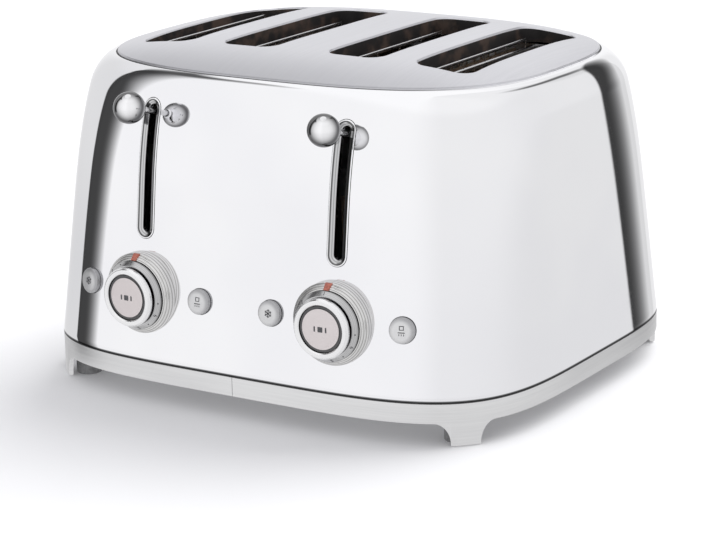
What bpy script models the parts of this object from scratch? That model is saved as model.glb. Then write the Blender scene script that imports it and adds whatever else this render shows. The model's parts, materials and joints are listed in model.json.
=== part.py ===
# Four-slot toaster with two lever mechanisms, built as separate named pieces.
# Units are metres, +Z is up, +X is to the right and the front faces -Y.
# The origin is on the table, under the middle of the whole object.

from math import atan, cos, pi, radians, sin, sqrt, tan

import bmesh
import bpy
import numpy as np
from mathutils import Vector

# Body
BODY_WIDTH = 0.360
BODY_DEPTH = 0.3134
PLINTH_UNDERSIDE = 0.0151
PLINTH_BAND = 0.0136
SEAM_GAP = 0.0004
SHELL_HEIGHT = 0.1850
SHELL_WALL = 0.0010
BASE_SQUARENESS = 4.2
RIM_SQUARENESS = 3.0
SQUARENESS_RATE = 2.7
SIDE_LEAN = 0.0141
SIDE_BULGE = 0.0044
SIDE_SHOULDER = 0.0158
SIDE_SHOULDER_SHARE = 0.89
FRONT_LEAN = 0.0286
FRONT_BULGE = 0.0080
FRONT_SHOULDER = 0.0161
FRONT_SHOULDER_SHARE = 0.60
SHOULDER_TURN_SHARE = 0.99

# Fits and cuts
CLEARANCE = 0.0003
SLIDE_GAP = 0.0004
CUT_OVERRUN = 0.004

# Top plate
PLATE_THICKNESS = 0.0015
PLATE_GAP = 0.0005
PLATE_CROWN = 0.0115
CROWN_RATE = 5.0
LEDGE_WIDTH = 0.006
SLOT_WIDTH = 0.0405
SLOT_LENGTH = 0.1511
SLOT_CORNER = 0.0105
SLOT_SETBACK = 0.003
SLOT_PITCH_SHARE = 0.18111
LIP_WALL = 0.0010

# Plinth and feet
TRIM_WALL = 0.0030
TRIM_SEAM = 0.0003
TRIM_STEPS = 34
FOOT_SHARE = 0.45
FOOT_WIDTH = 0.019
FOOT_FLARE = 0.0107
FOOT_LIFT = 0.0006
PAD_RADIUS = 0.0085
PAD_SETBACK = 0.0155
PAD_ROUND = 0.0003

# Base pan and crumb trays
PAN_THICKNESS = 0.0015
PAN_STEP = 0.0002
PAN_GAP = 0.0006
VENT_WIDTH = 0.004
VENT_LENGTH = 0.040
VENT_PITCH = 0.012
VENT_COUNT = 4
TRAY_WALL = 0.0008
TRAY_HEIGHT = 0.0090
TRAY_INNER_REACH = 0.0206
TRAY_OUTER_REACH = 0.0222
TRAY_FRAME = 0.0016
TRAY_STEP = 0.0020
GRIP_WIDTH = 0.030
GRIP_HEIGHT = 0.005
GRIP_DEPTH = 0.0010

# Levers
LEVER_SHARE = 0.20333
STEM_DROP = 0.0251
STOP_MARGIN = 0.0115
STEM_RADIUS = 0.0021
STEM_TILT = radians(15)
BALL_RADIUS = 0.01035
BALL_STANDOFF = 0.0248
BALL_SOCKET = 0.006
ARM_WIDTH = 0.003
ARM_HEIGHT = 0.0076
ARM_EDGE = 0.0005
ARM_SETBACK = 0.009
SLOT_TRIM_WIDTH = 0.0140
SLOT_TRIM_BELOW = 0.0081
SLOT_TRIM_ABOVE = 0.0082
LEVER_SLOT_WIDTH = 0.0058
TRIM_PROUD = 0.0008
TRIM_DEPTH = 0.0040
TRIM_ROUND = 0.0012

# Lever mechanism
CARRIAGE_PLACE = 0.0890
CARRIAGE_THICKNESS = 0.0015
CARRIAGE_BAR = 0.018
CARRIAGE_TONGUE = 0.018
BUSH_WIDTH = 0.013
BUSH_DEPTH = 0.0130
BUSH_HEIGHT = 0.016
ROD_RADIUS = 0.0030
ROD_PLACE = 0.018
ROD_CLEARANCE = 0.0004
SPRING_RADIUS = 0.0056
SPRING_BORE = 0.0038
RACK_WIDTH = 0.008
RACK_HEIGHT = 0.008
RACK_NOTCH = 0.003
RACK_NOTCHES = 9
RACK_DROP = 0.048
MAGNET_PLACE = 0.010
MAGNET_RADIUS = 0.0085
MAGNET_BASE = 0.018
MAGNET_FOOT = 0.006

# Toasting chambers
CHASSIS_FRONT_PLACE = 0.0800
CHASSIS_THICKNESS = 0.0012
CHASSIS_DEPTH = 0.1650
CHASSIS_EDGE = 0.0021
CHASSIS_DROP = 0.0041
CHASSIS_ARCH = 0.0290
LEG_GAP = 0.0030
CARD_THICKNESS = 0.0010
CARD_LOW = 0.070
CARD_DROP = 0.0081
CARD_OFFSET = 0.0246
GUARD_THICKNESS = 0.0016
GUARD_OPEN = 0.0175
GUARD_LOW = 0.0700
GUARD_DROP = 0.0046
GUARD_RAIL = 0.0030
GUARD_WIRE = 0.0020
GUARD_WINDOWS = 9

# Controls
CONTROL_HEIGHT = 0.0728
BEZEL_RADIUS = 0.0266
BEZEL_BORE = 0.0220
BEZEL_PROUD = 0.0050
BEZEL_EDGE = 0.0020
BEZEL_LIP = 0.0008
BEZEL_DEPTH = 0.0060
DIAL_FRONT = 0.0175
DIAL_RADIUS = 0.0194
DIAL_FLARE = 0.0008
DIAL_RIM_GAP = 0.0006
DIAL_RIM_GROWTH = 0.0034
DIAL_RIM_THICKNESS = 0.0008
DIAL_RIM_RISE = 0.0034
DIAL_ROUND = 0.0014
DIAL_LIP = 0.00035
DIAL_REAR = 0.0012
DIAL_WALL = 0.0016
DIAL_RECESS = 0.0045
DIAL_WEB = 0.0020
HUB_RADIUS = 0.0095
HUB_REAR = 0.0010
STOP_RADIUS = 0.0148
STOP_GAP = 0.0004
STOP_THICKNESS = 0.0018
STOP_SETBACK = 0.0006
STOP_DOME = 0.0003
STOP_STEM = 0.0038
STOP_TRAVEL = 0.0015
TUBE_RADIUS = 0.0065
TUBE_BORE = 0.0042
TUBE_FRONT = 0.0100
ENCODER_WIDTH = 0.024
ENCODER_DEPTH = 0.009
BOARD_PLACE = 0.0280
BOARD_THICKNESS = 0.0016
BOARD_HEIGHT = 0.037
POST_RADIUS = 0.003
POST_MARGIN = 0.0182
POST_EDGE = 0.0050
POST_RISE = 0.024
BUTTON_SPREAD = 0.0460
BUTTON_RADIUS = 0.0083
BUTTON_PROUD = 0.0026
BUTTON_DOME = 0.0008
BUTTON_ROUND = 0.0008
BUTTON_DEPTH = 0.0034
BUTTON_FLANGE = 0.0016
BUTTON_STEM = 0.0080
BUTTON_STEM_RADIUS = 0.0030
BUTTON_TRAVEL = 0.0015
BUTTON_CROWN_SHARE = 0.75
SWITCH_WIDTH = 0.008
SWITCH_CLEARANCE = 0.0017

# Cord gland
GLAND_HEIGHT = 0.045
GLAND_RADIUS = 0.0080
GLAND_FLANGE = 0.0105
GLAND_PROUD = 0.0035
GLAND_LENGTH = 0.0160
GLAND_BORE = 0.0038
GLAND_ROUND = 0.0010

# Roundness
OUTLINE_STEPS = 64
OUTLINE_SAMPLES = 2001
SHELL_RINGS = 13
RING_RATE = 1.8
CROWN_SHARES = (1, 0.97, 0.93, 0.87, 0.78, 0.62, 0.30)
TURN_STEPS = 32
BUTTON_STEPS = 20
BALL_STEPS = 24
SMALL_STEPS = 16
END_STEPS = 8
RISE_STEPS = 6
ROUNDING_DIGITS = 12
MERGE_DISTANCE = 0.00001
SMOOTH_ANGLE = radians(35)

SHELL_BOTTOM = PLINTH_UNDERSIDE + PLINTH_BAND + SEAM_GAP
RIM_HEIGHT = SHELL_BOTTOM + SHELL_HEIGHT
HALF_WIDTH = BODY_WIDTH / 2
HALF_DEPTH = BODY_DEPTH / 2
PAN_HEIGHT = PLINTH_UNDERSIDE + PAN_STEP
PAN_TOP = PAN_HEIGHT + PAN_THICKNESS
TRAY_FLOOR = PAN_TOP + CLEARANCE
CHASSIS_BOTTOM = PAN_TOP + CLEARANCE
CHASSIS_REAR_FACE = CHASSIS_DEPTH - CHASSIS_FRONT_PLACE
CHAMBER_FRONT = -CHASSIS_FRONT_PLACE + CHASSIS_THICKNESS + SLIDE_GAP
CHAMBER_REAR = CHASSIS_REAR_FACE - SLIDE_GAP
LEVER_PLACE = BODY_WIDTH * LEVER_SHARE
SLOT_PITCH = BODY_WIDTH * SLOT_PITCH_SHARE
SLOT_PLACES = (LEVER_PLACE - SLOT_PITCH / 2, LEVER_PLACE + SLOT_PITCH / 2)
FOOT_PLACE = BODY_WIDTH * FOOT_SHARE
TRAY_MARGIN = SLOT_PLACES[0] - TRAY_INNER_REACH
TRAY_SIDE = SLOT_PLACES[1] + TRAY_OUTER_REACH
CHASSIS_LEG = TRAY_MARGIN - LEG_GAP
CHASSIS_WIDTH = 2 * (SLOT_PLACES[1] + CARD_OFFSET + CHASSIS_EDGE)
CHASSIS_TOP = RIM_HEIGHT - CHASSIS_DROP
CARD_HIGH = RIM_HEIGHT - CARD_DROP
GUARD_HIGH = RIM_HEIGHT - GUARD_DROP
STEM_HEIGHT = RIM_HEIGHT - STEM_DROP
SLOT_TRIM_HIGH = STEM_HEIGHT + SLOT_TRIM_ABOVE
SLOT_TRIM_LOW = CONTROL_HEIGHT + BEZEL_RADIUS + SLOT_TRIM_BELOW
LEVER_TRAVEL = STEM_HEIGHT - SLOT_TRIM_LOW - STOP_MARGIN
RACK_REST = STEM_HEIGHT - RACK_DROP
POST_SPREAD = 2 * (LEVER_PLACE - POST_MARGIN)
BOARD_WIDTH = POST_SPREAD + 2 * POST_EDGE
SIDES = (("left", -1), ("right", 1))


# Body surface. A section at any height is a superellipse |x/a|^n + |y/b|^n = 1, whose half sizes shrink
# with the lean and then with a quarter ellipse at the shoulder.
def shoulder(share, start_share):
    turn = SHOULDER_TURN_SHARE * min(1, max(0, (share - start_share) / (1 - start_share)))
    return 1 - sqrt(1 - turn * turn)


def section(height):
    share = min(1, max(0, (height - SHELL_BOTTOM) / SHELL_HEIGHT))
    side = SIDE_LEAN * share - SIDE_BULGE * share * share
    side += SIDE_SHOULDER * shoulder(share, SIDE_SHOULDER_SHARE)
    front = FRONT_LEAN * share - FRONT_BULGE * share * share
    front += FRONT_SHOULDER * shoulder(share, FRONT_SHOULDER_SHARE)
    power = BASE_SQUARENESS + (RIM_SQUARENESS - BASE_SQUARENESS) * share ** SQUARENESS_RATE
    return HALF_WIDTH - side, HALF_DEPTH - front, power


def superellipse(half_width, half_depth, power, count=OUTLINE_STEPS):
    angle = np.arange(count) * 2 * pi / count
    c = np.round(np.cos(angle), ROUNDING_DIGITS)
    s = np.round(np.sin(angle), ROUNDING_DIGITS)
    x = half_width * np.sign(c) * np.abs(c) ** (2 / power)
    y = half_depth * np.sign(s) * np.abs(s) ** (2 / power)
    return list(zip(x.tolist(), y.tolist()))


def front_depth(x, height):
    a, b, power = section(height)
    return -b * (1 - abs(x / a) ** power) ** (1 / power)


def surface_turn(x, height):
    # Yaw and lean of the front surface, from small steps along it.
    step = CLEARANCE
    across = (front_depth(x + step, height) - front_depth(x - step, height)) / (2 * step)
    up = (front_depth(x, height + step) - front_depth(x, height - step)) / (2 * step)
    return atan(across), atan(up)


RIM_HALF_WIDTH, RIM_HALF_DEPTH, RIM_POWER = section(RIM_HEIGHT)


def crown_height(x, y, half_width, half_depth):
    reach = (abs(x / half_width) ** RIM_POWER + abs(y / half_depth) ** RIM_POWER) ** (1 / RIM_POWER)
    return RIM_HEIGHT + PLATE_CROWN * (1 - min(1, reach) ** CROWN_RATE)


KNOB_DEPTH = front_depth(LEVER_PLACE, CONTROL_HEIGHT)
KNOB_YAW, KNOB_LEAN = surface_turn(LEVER_PLACE, CONTROL_HEIGHT)
DIAL_RIM_REAR = BEZEL_PROUD * cos(KNOB_LEAN) + (BEZEL_BORE + BEZEL_LIP) * sin(KNOB_LEAN) + DIAL_RIM_GAP
STEM_DEPTH = front_depth(LEVER_PLACE, STEM_HEIGHT)
BALL_DEPTH = STEM_DEPTH - BALL_STANDOFF * cos(STEM_TILT)
BALL_HEIGHT = STEM_HEIGHT + BALL_STANDOFF * sin(STEM_TILT)
FRONT_REACH = max(
    BALL_RADIUS - BALL_DEPTH,
    DIAL_FRONT * cos(KNOB_YAW) + (DIAL_RADIUS - DIAL_ROUND) * sin(KNOB_YAW) - KNOB_DEPTH,
)
GLAND_LEAN = surface_turn(0, GLAND_HEIGHT)[1]
GLAND_DEPTH = section(GLAND_HEIGHT)[1]
REAR_REACH = max(
    HALF_DEPTH,
    GLAND_DEPTH + GLAND_PROUD * cos(GLAND_LEAN) + (GLAND_FLANGE - GLAND_ROUND) * sin(GLAND_LEAN),
)
BODY_SHIFT = (FRONT_REACH - REAR_REACH) / 2


# Scene set-up
for old in list(bpy.data.objects):
    bpy.data.objects.remove(old)
PART = bpy.data.collections.new("four_slot_toaster")
CUTTERS = bpy.data.collections.new("cutters")
bpy.context.scene.collection.children.link(PART)
bpy.context.scene.collection.children.link(CUTTERS)


def empty(name, location, rotation=(0, 0, 0), parent=None):
    obj = bpy.data.objects.new(name, None)
    obj.empty_display_size = PAD_RADIUS
    obj.location = location
    obj.rotation_euler = rotation
    obj.parent = parent
    PART.objects.link(obj)
    return obj


BODY_FRAME = empty("body_frame", (0, BODY_SHIFT, 0))


def material(name, colour, roughness, metallic):
    mat = bpy.data.materials.new(name)
    mat.use_nodes = True
    shader = mat.node_tree.nodes["Principled BSDF"]
    shader.inputs["Base Color"].default_value = (*colour, 1)
    shader.inputs["Roughness"].default_value = roughness
    shader.inputs["Metallic"].default_value = metallic
    mat.diffuse_color = (*colour, 1)
    return mat


CHROME = material("chrome", (0.86, 0.86, 0.87), 0.06, 1)
SATIN = material("satin_steel", (0.72, 0.72, 0.75), 0.32, 1)
ZINC = material("zinc_steel", (0.55, 0.56, 0.58), 0.42, 1)
MICA = material("mica", (0.36, 0.27, 0.19), 0.70, 0)
RUBBER = material("rubber", (0.03, 0.03, 0.03), 0.85, 0)
BLACK = material("black_plastic", (0.03, 0.03, 0.035), 0.50, 0)
BOARD_GREEN = material("board", (0.05, 0.22, 0.12), 0.50, 0)
COPPER = material("copper", (0.60, 0.30, 0.16), 0.40, 1)
PEARL = material("pearl_plastic", (0.74, 0.70, 0.69), 0.35, 0)


def add(name, mesh, mat, location=(0, 0, 0), rotation=(0, 0, 0), parent=BODY_FRAME, cutter=False):
    obj = bpy.data.objects.new(name, mesh)
    obj.location = location
    obj.rotation_euler = rotation
    obj.parent = parent
    if mat and not mesh.materials:
        mesh.materials.append(mat)
    (CUTTERS if cutter else PART).objects.link(obj)
    if cutter:
        obj.hide_render = True
        obj.display_type = "WIRE"
    return obj


def smooth(mesh):
    mesh.shade_smooth()
    mesh.set_sharp_from_angle(angle=SMOOTH_ANGLE)
    return mesh


def to_mesh(name, bm):
    mesh = bpy.data.meshes.new(name)
    bm.to_mesh(mesh)
    bm.free()
    return smooth(mesh)


def box_mesh(name, low, high):
    bm = bmesh.new()
    bmesh.ops.create_cube(bm, size=1)
    size = Vector(high) - Vector(low)
    centre = (Vector(high) + Vector(low)) / 2
    bmesh.ops.scale(bm, vec=size, verts=bm.verts)
    bmesh.ops.translate(bm, vec=centre, verts=bm.verts)
    return to_mesh(name, bm)


def rod_mesh(name, radius, low, high, steps=SMALL_STEPS):
    # A cylinder along local Z between two heights.
    bm = bmesh.new()
    size = {"radius1": radius, "radius2": radius, "depth": high - low}
    bmesh.ops.create_cone(bm, cap_ends=True, segments=steps, **size)
    bmesh.ops.translate(bm, vec=(0, 0, (low + high) / 2), verts=bm.verts)
    return to_mesh(name, bm)


def boolean(obj, other, operation="DIFFERENCE"):
    cut = obj.modifiers.new(other.name, "BOOLEAN")
    cut.operation = operation
    cut.solver = "EXACT"
    cut.object = other


def bevel(obj, width, segments=2):
    edge = obj.modifiers.new("bevel", "BEVEL")
    edge.width = width
    edge.segments = segments
    edge.limit_method = "ANGLE"
    edge.angle_limit = SMOOTH_ANGLE


def solidify(obj, thickness):
    # The thickness goes to the inside of the faces.
    wall = obj.modifiers.new("wall", "SOLIDIFY")
    wall.thickness = thickness
    wall.offset = -1
    wall.use_even_offset = True


def turned(name, profile, mat, location, rotation, parent=BODY_FRAME, ring=False, steps=TURN_STEPS):
    # A profile of (radius, height) points, from the top down its outer side, turned about local Z.
    # A ring's profile is closed, and any other profile starts and ends on the axis.
    mesh = bpy.data.meshes.new(name)
    edges = [(i, i + 1) for i in range(len(profile) - 1)]
    if ring:
        edges.append((len(profile) - 1, 0))
    mesh.from_pydata([(r, 0, h) for r, h in profile], edges, [])
    obj = add(name, mesh, mat, location, rotation, parent)
    screw = obj.modifiers.new("turn", "SCREW")
    screw.steps = steps
    screw.render_steps = steps
    screw.use_merge_vertices = True
    screw.merge_threshold = MERGE_DISTANCE
    return obj


def rounded(r, h, size):
    # The three points that round an outer top corner.
    bend = size * (1 - sqrt(0.5))
    return [(r - size, h), (r - bend, h - bend), (r, h - size)]


def flat_mesh(name, loops, thickness):
    # Outlines in the XY plane, holes included, with half the thickness on either side.
    curve = bpy.data.curves.new(name, "CURVE")
    curve.dimensions = "2D"
    curve.fill_mode = "BOTH"
    curve.extrude = thickness / 2
    for loop in loops:
        spline = curve.splines.new("POLY")
        spline.points.add(len(loop) - 1)
        for point, (x, y) in zip(spline.points, loop):
            point.co = (x, y, 0, 1)
        spline.use_cyclic_u = True
    source = bpy.data.objects.new(name, curve)
    bpy.context.scene.collection.objects.link(source)
    graph = bpy.context.evaluated_depsgraph_get()
    mesh = bpy.data.meshes.new_from_object(source.evaluated_get(graph))
    bpy.data.objects.remove(source)
    bm = bmesh.new()
    bm.from_mesh(mesh)
    bmesh.ops.remove_doubles(bm, verts=bm.verts, dist=MERGE_DISTANCE)
    bmesh.ops.recalc_face_normals(bm, faces=bm.faces)
    bm.to_mesh(mesh)
    bm.free()
    mesh.name = name
    return smooth(mesh)


def rectangle(low_x, low_y, high_x, high_y):
    return [(low_x, low_y), (high_x, low_y), (high_x, high_y), (low_x, high_y)]


def rounded_rectangle(x, y, width, depth, radius, steps=END_STEPS):
    points = []
    for corner in range(4):
        turn = corner * pi / 2
        cx = x + (width / 2 - radius) * (1 if corner in (0, 3) else -1)
        cy = y + (depth / 2 - radius) * (1 if corner in (0, 1) else -1)
        for k in range(steps + 1):
            angle = turn + k * pi / 2 / steps
            points.append((cx + radius * cos(angle), cy + radius * sin(angle)))
    return points


def stadium(x, low, high, width, steps=END_STEPS, rises=1):
    # An upright slot outline with round ends, whose sides can be in several lengths.
    radius = width / 2
    points = []
    for centre, start, way in ((high - radius, 0, -1), (low + radius, pi, 1)):
        for k in range(steps + 1):
            angle = start + k * pi / steps
            points.append((x + radius * cos(angle), centre + radius * sin(angle)))
        for k in range(1, rises):
            points.append((x + way * radius, centre + way * k * (high - low - width) / rises))
    return points


def loft_mesh(name, rings, cap_low=False, cap_high=False, loop=False):
    # Rings of equal counts, counter-clockwise seen from the end of the last one, joined side by side.
    bm = bmesh.new()
    rows = [[bm.verts.new(point) for point in ring] for ring in rings]
    pairs = list(zip(rows, rows[1:]))
    if loop:
        pairs.append((rows[-1], rows[0]))
    for low, high in pairs:
        for i in range(len(low)):
            j = (i + 1) % len(low)
            bm.faces.new((low[i], low[j], high[j], high[i]))
    if cap_low:
        bm.faces.new(list(reversed(rows[0])))
    if cap_high:
        bm.faces.new(rows[-1])
    if loop:
        bmesh.ops.recalc_face_normals(bm, faces=bm.faces)
    return to_mesh(name, bm)


def strip_mesh(name, rows):
    # Open rows of equal counts, joined side by side.
    bm = bmesh.new()
    lines = [[bm.verts.new(point) for point in row] for row in rows]
    for low, high in zip(lines, lines[1:]):
        for i in range(len(low) - 1):
            bm.faces.new((low[i], low[i + 1], high[i + 1], high[i]))
    return to_mesh(name, bm)


def union_box(obj, name, low, high, parent=BODY_FRAME):
    extra = add(name, box_mesh(name, low, high), None, parent=parent, cutter=True)
    boolean(obj, extra, "UNION")


FACE_FRONT = (pi / 2, 0, 0)
FACE_SIDE = (pi / 2, 0, pi / 2)


# Body shell, with its rolled shoulder and the ledge that the top plate sits on
def body_shell():
    rings = []
    for k in range(SHELL_RINGS):
        share = 1 - (1 - k / (SHELL_RINGS - 1)) ** RING_RATE
        height = SHELL_BOTTOM + share * SHELL_HEIGHT
        rings.append([(x, y, height) for x, y in superellipse(*section(height))])
    ledge = RIM_HEIGHT - PLATE_THICKNESS - CLEARANCE
    rings.append([(x, y, ledge) for x, y, _ in rings[-1]])
    inner = superellipse(RIM_HALF_WIDTH - LEDGE_WIDTH, RIM_HALF_DEPTH - LEDGE_WIDTH, RIM_POWER)
    rings.append([(x, y, ledge) for x, y in inner])
    shell = add("body_shell", loft_mesh("body_shell", rings), CHROME)
    solidify(shell, SHELL_WALL)
    for side, sign in SIDES:
        cut_front_openings(shell, side, sign)
    hole = rod_mesh("cut_gland", GLAND_RADIUS + CLEARANCE, -GLAND_LENGTH, CUT_OVERRUN, TURN_STEPS)
    boolean(shell, add("cut_gland", hole, None, *gland_place(), cutter=True))


def cut_front_openings(shell, side, sign):
    width = SLOT_TRIM_WIDTH + 2 * CLEARANCE
    outline = stadium(sign * LEVER_PLACE, SLOT_TRIM_LOW - CLEARANCE, SLOT_TRIM_HIGH + CLEARANCE, width)
    reach = HALF_DEPTH + CUT_OVERRUN
    depth = reach - CARRIAGE_PLACE
    name = "cut_lever_slot_" + side
    place = (0, depth / 2 - reach, 0)
    boolean(shell, add(name, flat_mesh(name, [outline], depth), None, place, FACE_FRONT, cutter=True))
    name = "cut_bezel_" + side
    hole = rod_mesh(name, BEZEL_RADIUS + CLEARANCE, -BOARD_PLACE / 2, BEZEL_RADIUS, TURN_STEPS)
    boolean(shell, add(name, hole, None, *bezel_place(sign), cutter=True))
    for where, step in (("outer", 1), ("inner", -1)):
        name = "cut_button_" + side + "_" + where
        hole = rod_mesh(name, BUTTON_RADIUS + SLIDE_GAP, -BUTTON_DEPTH, BUTTON_DEPTH, TURN_STEPS)
        boolean(shell, add(name, hole, None, *button_place(sign, step), cutter=True))


# Top plate, crowned, with a turned-down lip round each slot
def crown_rings(shift, grow, low=None):
    half_width = RIM_HALF_WIDTH - PLATE_GAP + grow
    half_depth = RIM_HALF_DEPTH - PLATE_GAP + grow
    rings = []
    if low is not None:
        rings.append([(x, y, low) for x, y in superellipse(half_width, half_depth, RIM_POWER)])
    for share in CROWN_SHARES:
        outline = superellipse(half_width * share, half_depth * share, RIM_POWER)
        rings.append([(x, y, crown_height(x, y, half_width, half_depth) + shift) for x, y in outline])
    return rings


def slot_outlines(grow):
    outlines = []
    for sign in (-1, 1):
        for place in SLOT_PLACES:
            size = (SLOT_WIDTH + 2 * grow, SLOT_LENGTH + 2 * grow)
            outlines.append(rounded_rectangle(sign * place, SLOT_SETBACK, *size, SLOT_CORNER + grow))
    return outlines


def top_plate():
    lip_bottom = RIM_HEIGHT - PLATE_THICKNESS
    plate = add("top_plate", loft_mesh("top_plate", crown_rings(0, 0), cap_high=True), SATIN)
    solidify(plate, PLATE_THICKNESS)
    lips = flat_mesh("slot_lips", slot_outlines(LIP_WALL), 2 * PLATE_CROWN)
    lip_ring = add("slot_lips", lips, None, (0, 0, lip_bottom + PLATE_CROWN), cutter=True)
    rings = crown_rings(-PLATE_THICKNESS / 2, CUT_OVERRUN, lip_bottom - CUT_OVERRUN)
    under = loft_mesh("under_crown", rings, True, True)
    boolean(lip_ring, add("under_crown", under, None, cutter=True), "INTERSECT")
    boolean(plate, lip_ring, "UNION")
    openings = flat_mesh("slot_openings", slot_outlines(0), 2 * PLATE_CROWN + 2 * CUT_OVERRUN)
    boolean(plate, add("slot_openings", openings, None, (0, 0, lip_bottom + PLATE_CROWN), cutter=True))


# Plinth band. It is drawn along the outline by its length from the front's middle to the back's middle.
def outline_table():
    angle = np.linspace(-pi / 2, pi / 2, OUTLINE_SAMPLES)
    c = np.round(np.cos(angle), ROUNDING_DIGITS)
    s = np.sin(angle)
    x = HALF_WIDTH * c ** (2 / BASE_SQUARENESS)
    y = HALF_DEPTH * np.sign(s) * np.abs(s) ** (2 / BASE_SQUARENESS)
    length = np.concatenate([[0], np.cumsum(np.hypot(np.diff(x), np.diff(y)))])
    return x, y, length


OUTLINE_X, OUTLINE_Y, OUTLINE_LENGTH = outline_table()
HALF_ROUND = OUTLINE_LENGTH[-1]


def outline_point(length):
    x = np.interp(length, OUTLINE_LENGTH, OUTLINE_X)
    y = np.interp(length, OUTLINE_LENGTH, OUTLINE_Y)
    return float(x), float(y)


def foot_underside(length):
    # The band's lower edge runs down to the foot along a quarter circle on either side of it.
    away = min(abs(length - FOOT_PLACE), abs(HALF_ROUND - length - FOOT_PLACE)) - FOOT_WIDTH / 2
    share = min(1, max(0, away) / FOOT_FLARE)
    drop = 1 - sqrt(1 - (1 - share) ** 2)
    return PLINTH_UNDERSIDE - (PLINTH_UNDERSIDE - FOOT_LIFT) * drop


def band_lengths():
    stops = np.linspace(TRIM_SEAM / 2, HALF_ROUND - TRIM_SEAM / 2, TRIM_STEPS).tolist()
    flare = [1 - cos(k * pi / 2 / END_STEPS) for k in range(END_STEPS + 1)]
    for foot in (FOOT_PLACE, HALF_ROUND - FOOT_PLACE):
        reach = FOOT_WIDTH / 2 + FOOT_FLARE
        stops = [stop for stop in stops if abs(stop - foot) > reach + TRIM_WALL]
        for swing in flare:
            away = FOOT_WIDTH / 2 + FOOT_FLARE * swing
            stops += [foot - away, foot + away]
        stops.append(foot)
    return sorted(stops)


def base_trims():
    top = PLINTH_UNDERSIDE + PLINTH_BAND
    for side, sign in SIDES:
        lengths = band_lengths()
        if sign < 0:
            lengths.reverse()
        points = [outline_point(length) for length in lengths]
        low = [(sign * x, y, foot_underside(length)) for (x, y), length in zip(points, lengths)]
        mid = [(x, y, PLINTH_UNDERSIDE + PLINTH_BAND / 4) for x, y, _ in low]
        high = [(x, y, top) for x, y, _ in low]
        name = "base_trim_" + side
        trim = add(name, strip_mesh(name, [low, mid, high]), SATIN)
        solidify(trim, TRIM_WALL)
        gap = "cut_tray_" + side
        near = sign * (TRAY_MARGIN - CLEARANCE)
        far = sign * (TRAY_SIDE + CLEARANCE)
        corner_low = (min(near, far), CHASSIS_REAR_FACE, PLINTH_UNDERSIDE + TRAY_FRAME - CLEARANCE)
        corner_high = (max(near, far), HALF_DEPTH + CUT_OVERRUN, top - TRAY_FRAME + CLEARANCE)
        boolean(trim, add(gap, box_mesh(gap, corner_low, corner_high), None, cutter=True))


def foot_pads():
    profile = [(0, PAN_HEIGHT - CLEARANCE)] + rounded(PAD_RADIUS, PAN_HEIGHT - CLEARANCE, PAD_ROUND)
    profile += [(PAD_RADIUS, PAD_ROUND), (PAD_RADIUS - PAD_ROUND, 0), (0, 0)]
    x, y = outline_point(FOOT_PLACE)
    inward = (Vector((0, 0)) - Vector((x, y))).normalized() * PAD_SETBACK
    for side, sign in SIDES:
        for where, end in (("front", 1), ("rear", -1)):
            place = (sign * (x + inward.x), end * (y + inward.y), 0)
            name = "foot_pad_" + where + "_" + side
            turned(name, profile, RUBBER, place, (0, 0, 0), steps=BUTTON_STEPS)


def base_pan():
    inset = TRIM_WALL + PAN_GAP
    outline = superellipse(HALF_WIDTH - inset, HALF_DEPTH - inset, BASE_SQUARENESS)
    loops = [outline]
    for sign in (-1, 1):
        for k in range(VENT_COUNT):
            x = sign * (LEVER_PLACE + (k - (VENT_COUNT - 1) / 2) * VENT_PITCH)
            loops.append(stadium(x, -VENT_LENGTH / 2, VENT_LENGTH / 2, VENT_WIDTH, END_STEPS // 2))
    pan = flat_mesh("base_pan", loops, PAN_THICKNESS)
    add("base_pan", pan, ZINC, (0, 0, PAN_HEIGHT + PAN_THICKNESS / 2))


# Crumb trays, each with a curved end that fills its opening in the plinth band
def rear_depth(x):
    return HALF_DEPTH * (1 - abs(x / HALF_WIDTH) ** BASE_SQUARENESS) ** (1 / BASE_SQUARENESS)


def tray_block(name, sign, side_inset, rear_inset, low, high):
    # A block whose rear follows the outline, and whose front is inset as far as its sides.
    front = CHAMBER_FRONT + side_inset
    inner = TRAY_MARGIN + TRAY_STEP + side_inset
    outer = TRAY_SIDE - TRAY_STEP - side_inset
    places = np.linspace(inner, outer, END_STEPS + 1).tolist()
    loop = [(sign * outer, front), (sign * inner, front)]
    loop += [(sign * x, rear_depth(x) - rear_inset) for x in places]
    return add(name, flat_mesh(name, [loop], high - low), None, (0, 0, (low + high) / 2), cutter=True)


def crumb_trays():
    bottom = PLINTH_UNDERSIDE + TRAY_FRAME
    top = PLINTH_UNDERSIDE + PLINTH_BAND - TRAY_FRAME
    rim = TRAY_FLOOR + TRAY_HEIGHT
    for side, sign in SIDES:
        name = "crumb_tray_" + side
        places = np.linspace(sign * TRAY_MARGIN, sign * TRAY_SIDE, END_STEPS + 1).tolist()
        places.sort(reverse=True)
        rows = [[(x, rear_depth(x), z) for x in places] for z in (bottom, top)]
        tray = add(name, strip_mesh(name, rows), SATIN)
        solidify(tray, TRIM_WALL)
        boolean(tray, tray_block(name + "_block", sign, 0, TRIM_WALL / 2, TRAY_FLOOR, rim), "UNION")
        span = (TRAY_FLOOR + TRAY_WALL, rim + CUT_OVERRUN)
        boolean(tray, tray_block(name + "_hollow", sign, TRAY_WALL, TRIM_WALL + TRAY_WALL, *span))
        half = GRIP_WIDTH / 2
        middle = (bottom + top) / 2
        x = sign * LEVER_PLACE
        corner_low = (x - half, rear_depth(LEVER_PLACE + half) - GRIP_DEPTH, middle - GRIP_HEIGHT / 2)
        corner_high = (x + half, HALF_DEPTH + CUT_OVERRUN, middle + GRIP_HEIGHT / 2)
        grip = "grip_" + side
        boolean(tray, add(grip, box_mesh(grip, corner_low, corner_high), None, cutter=True))


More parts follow.
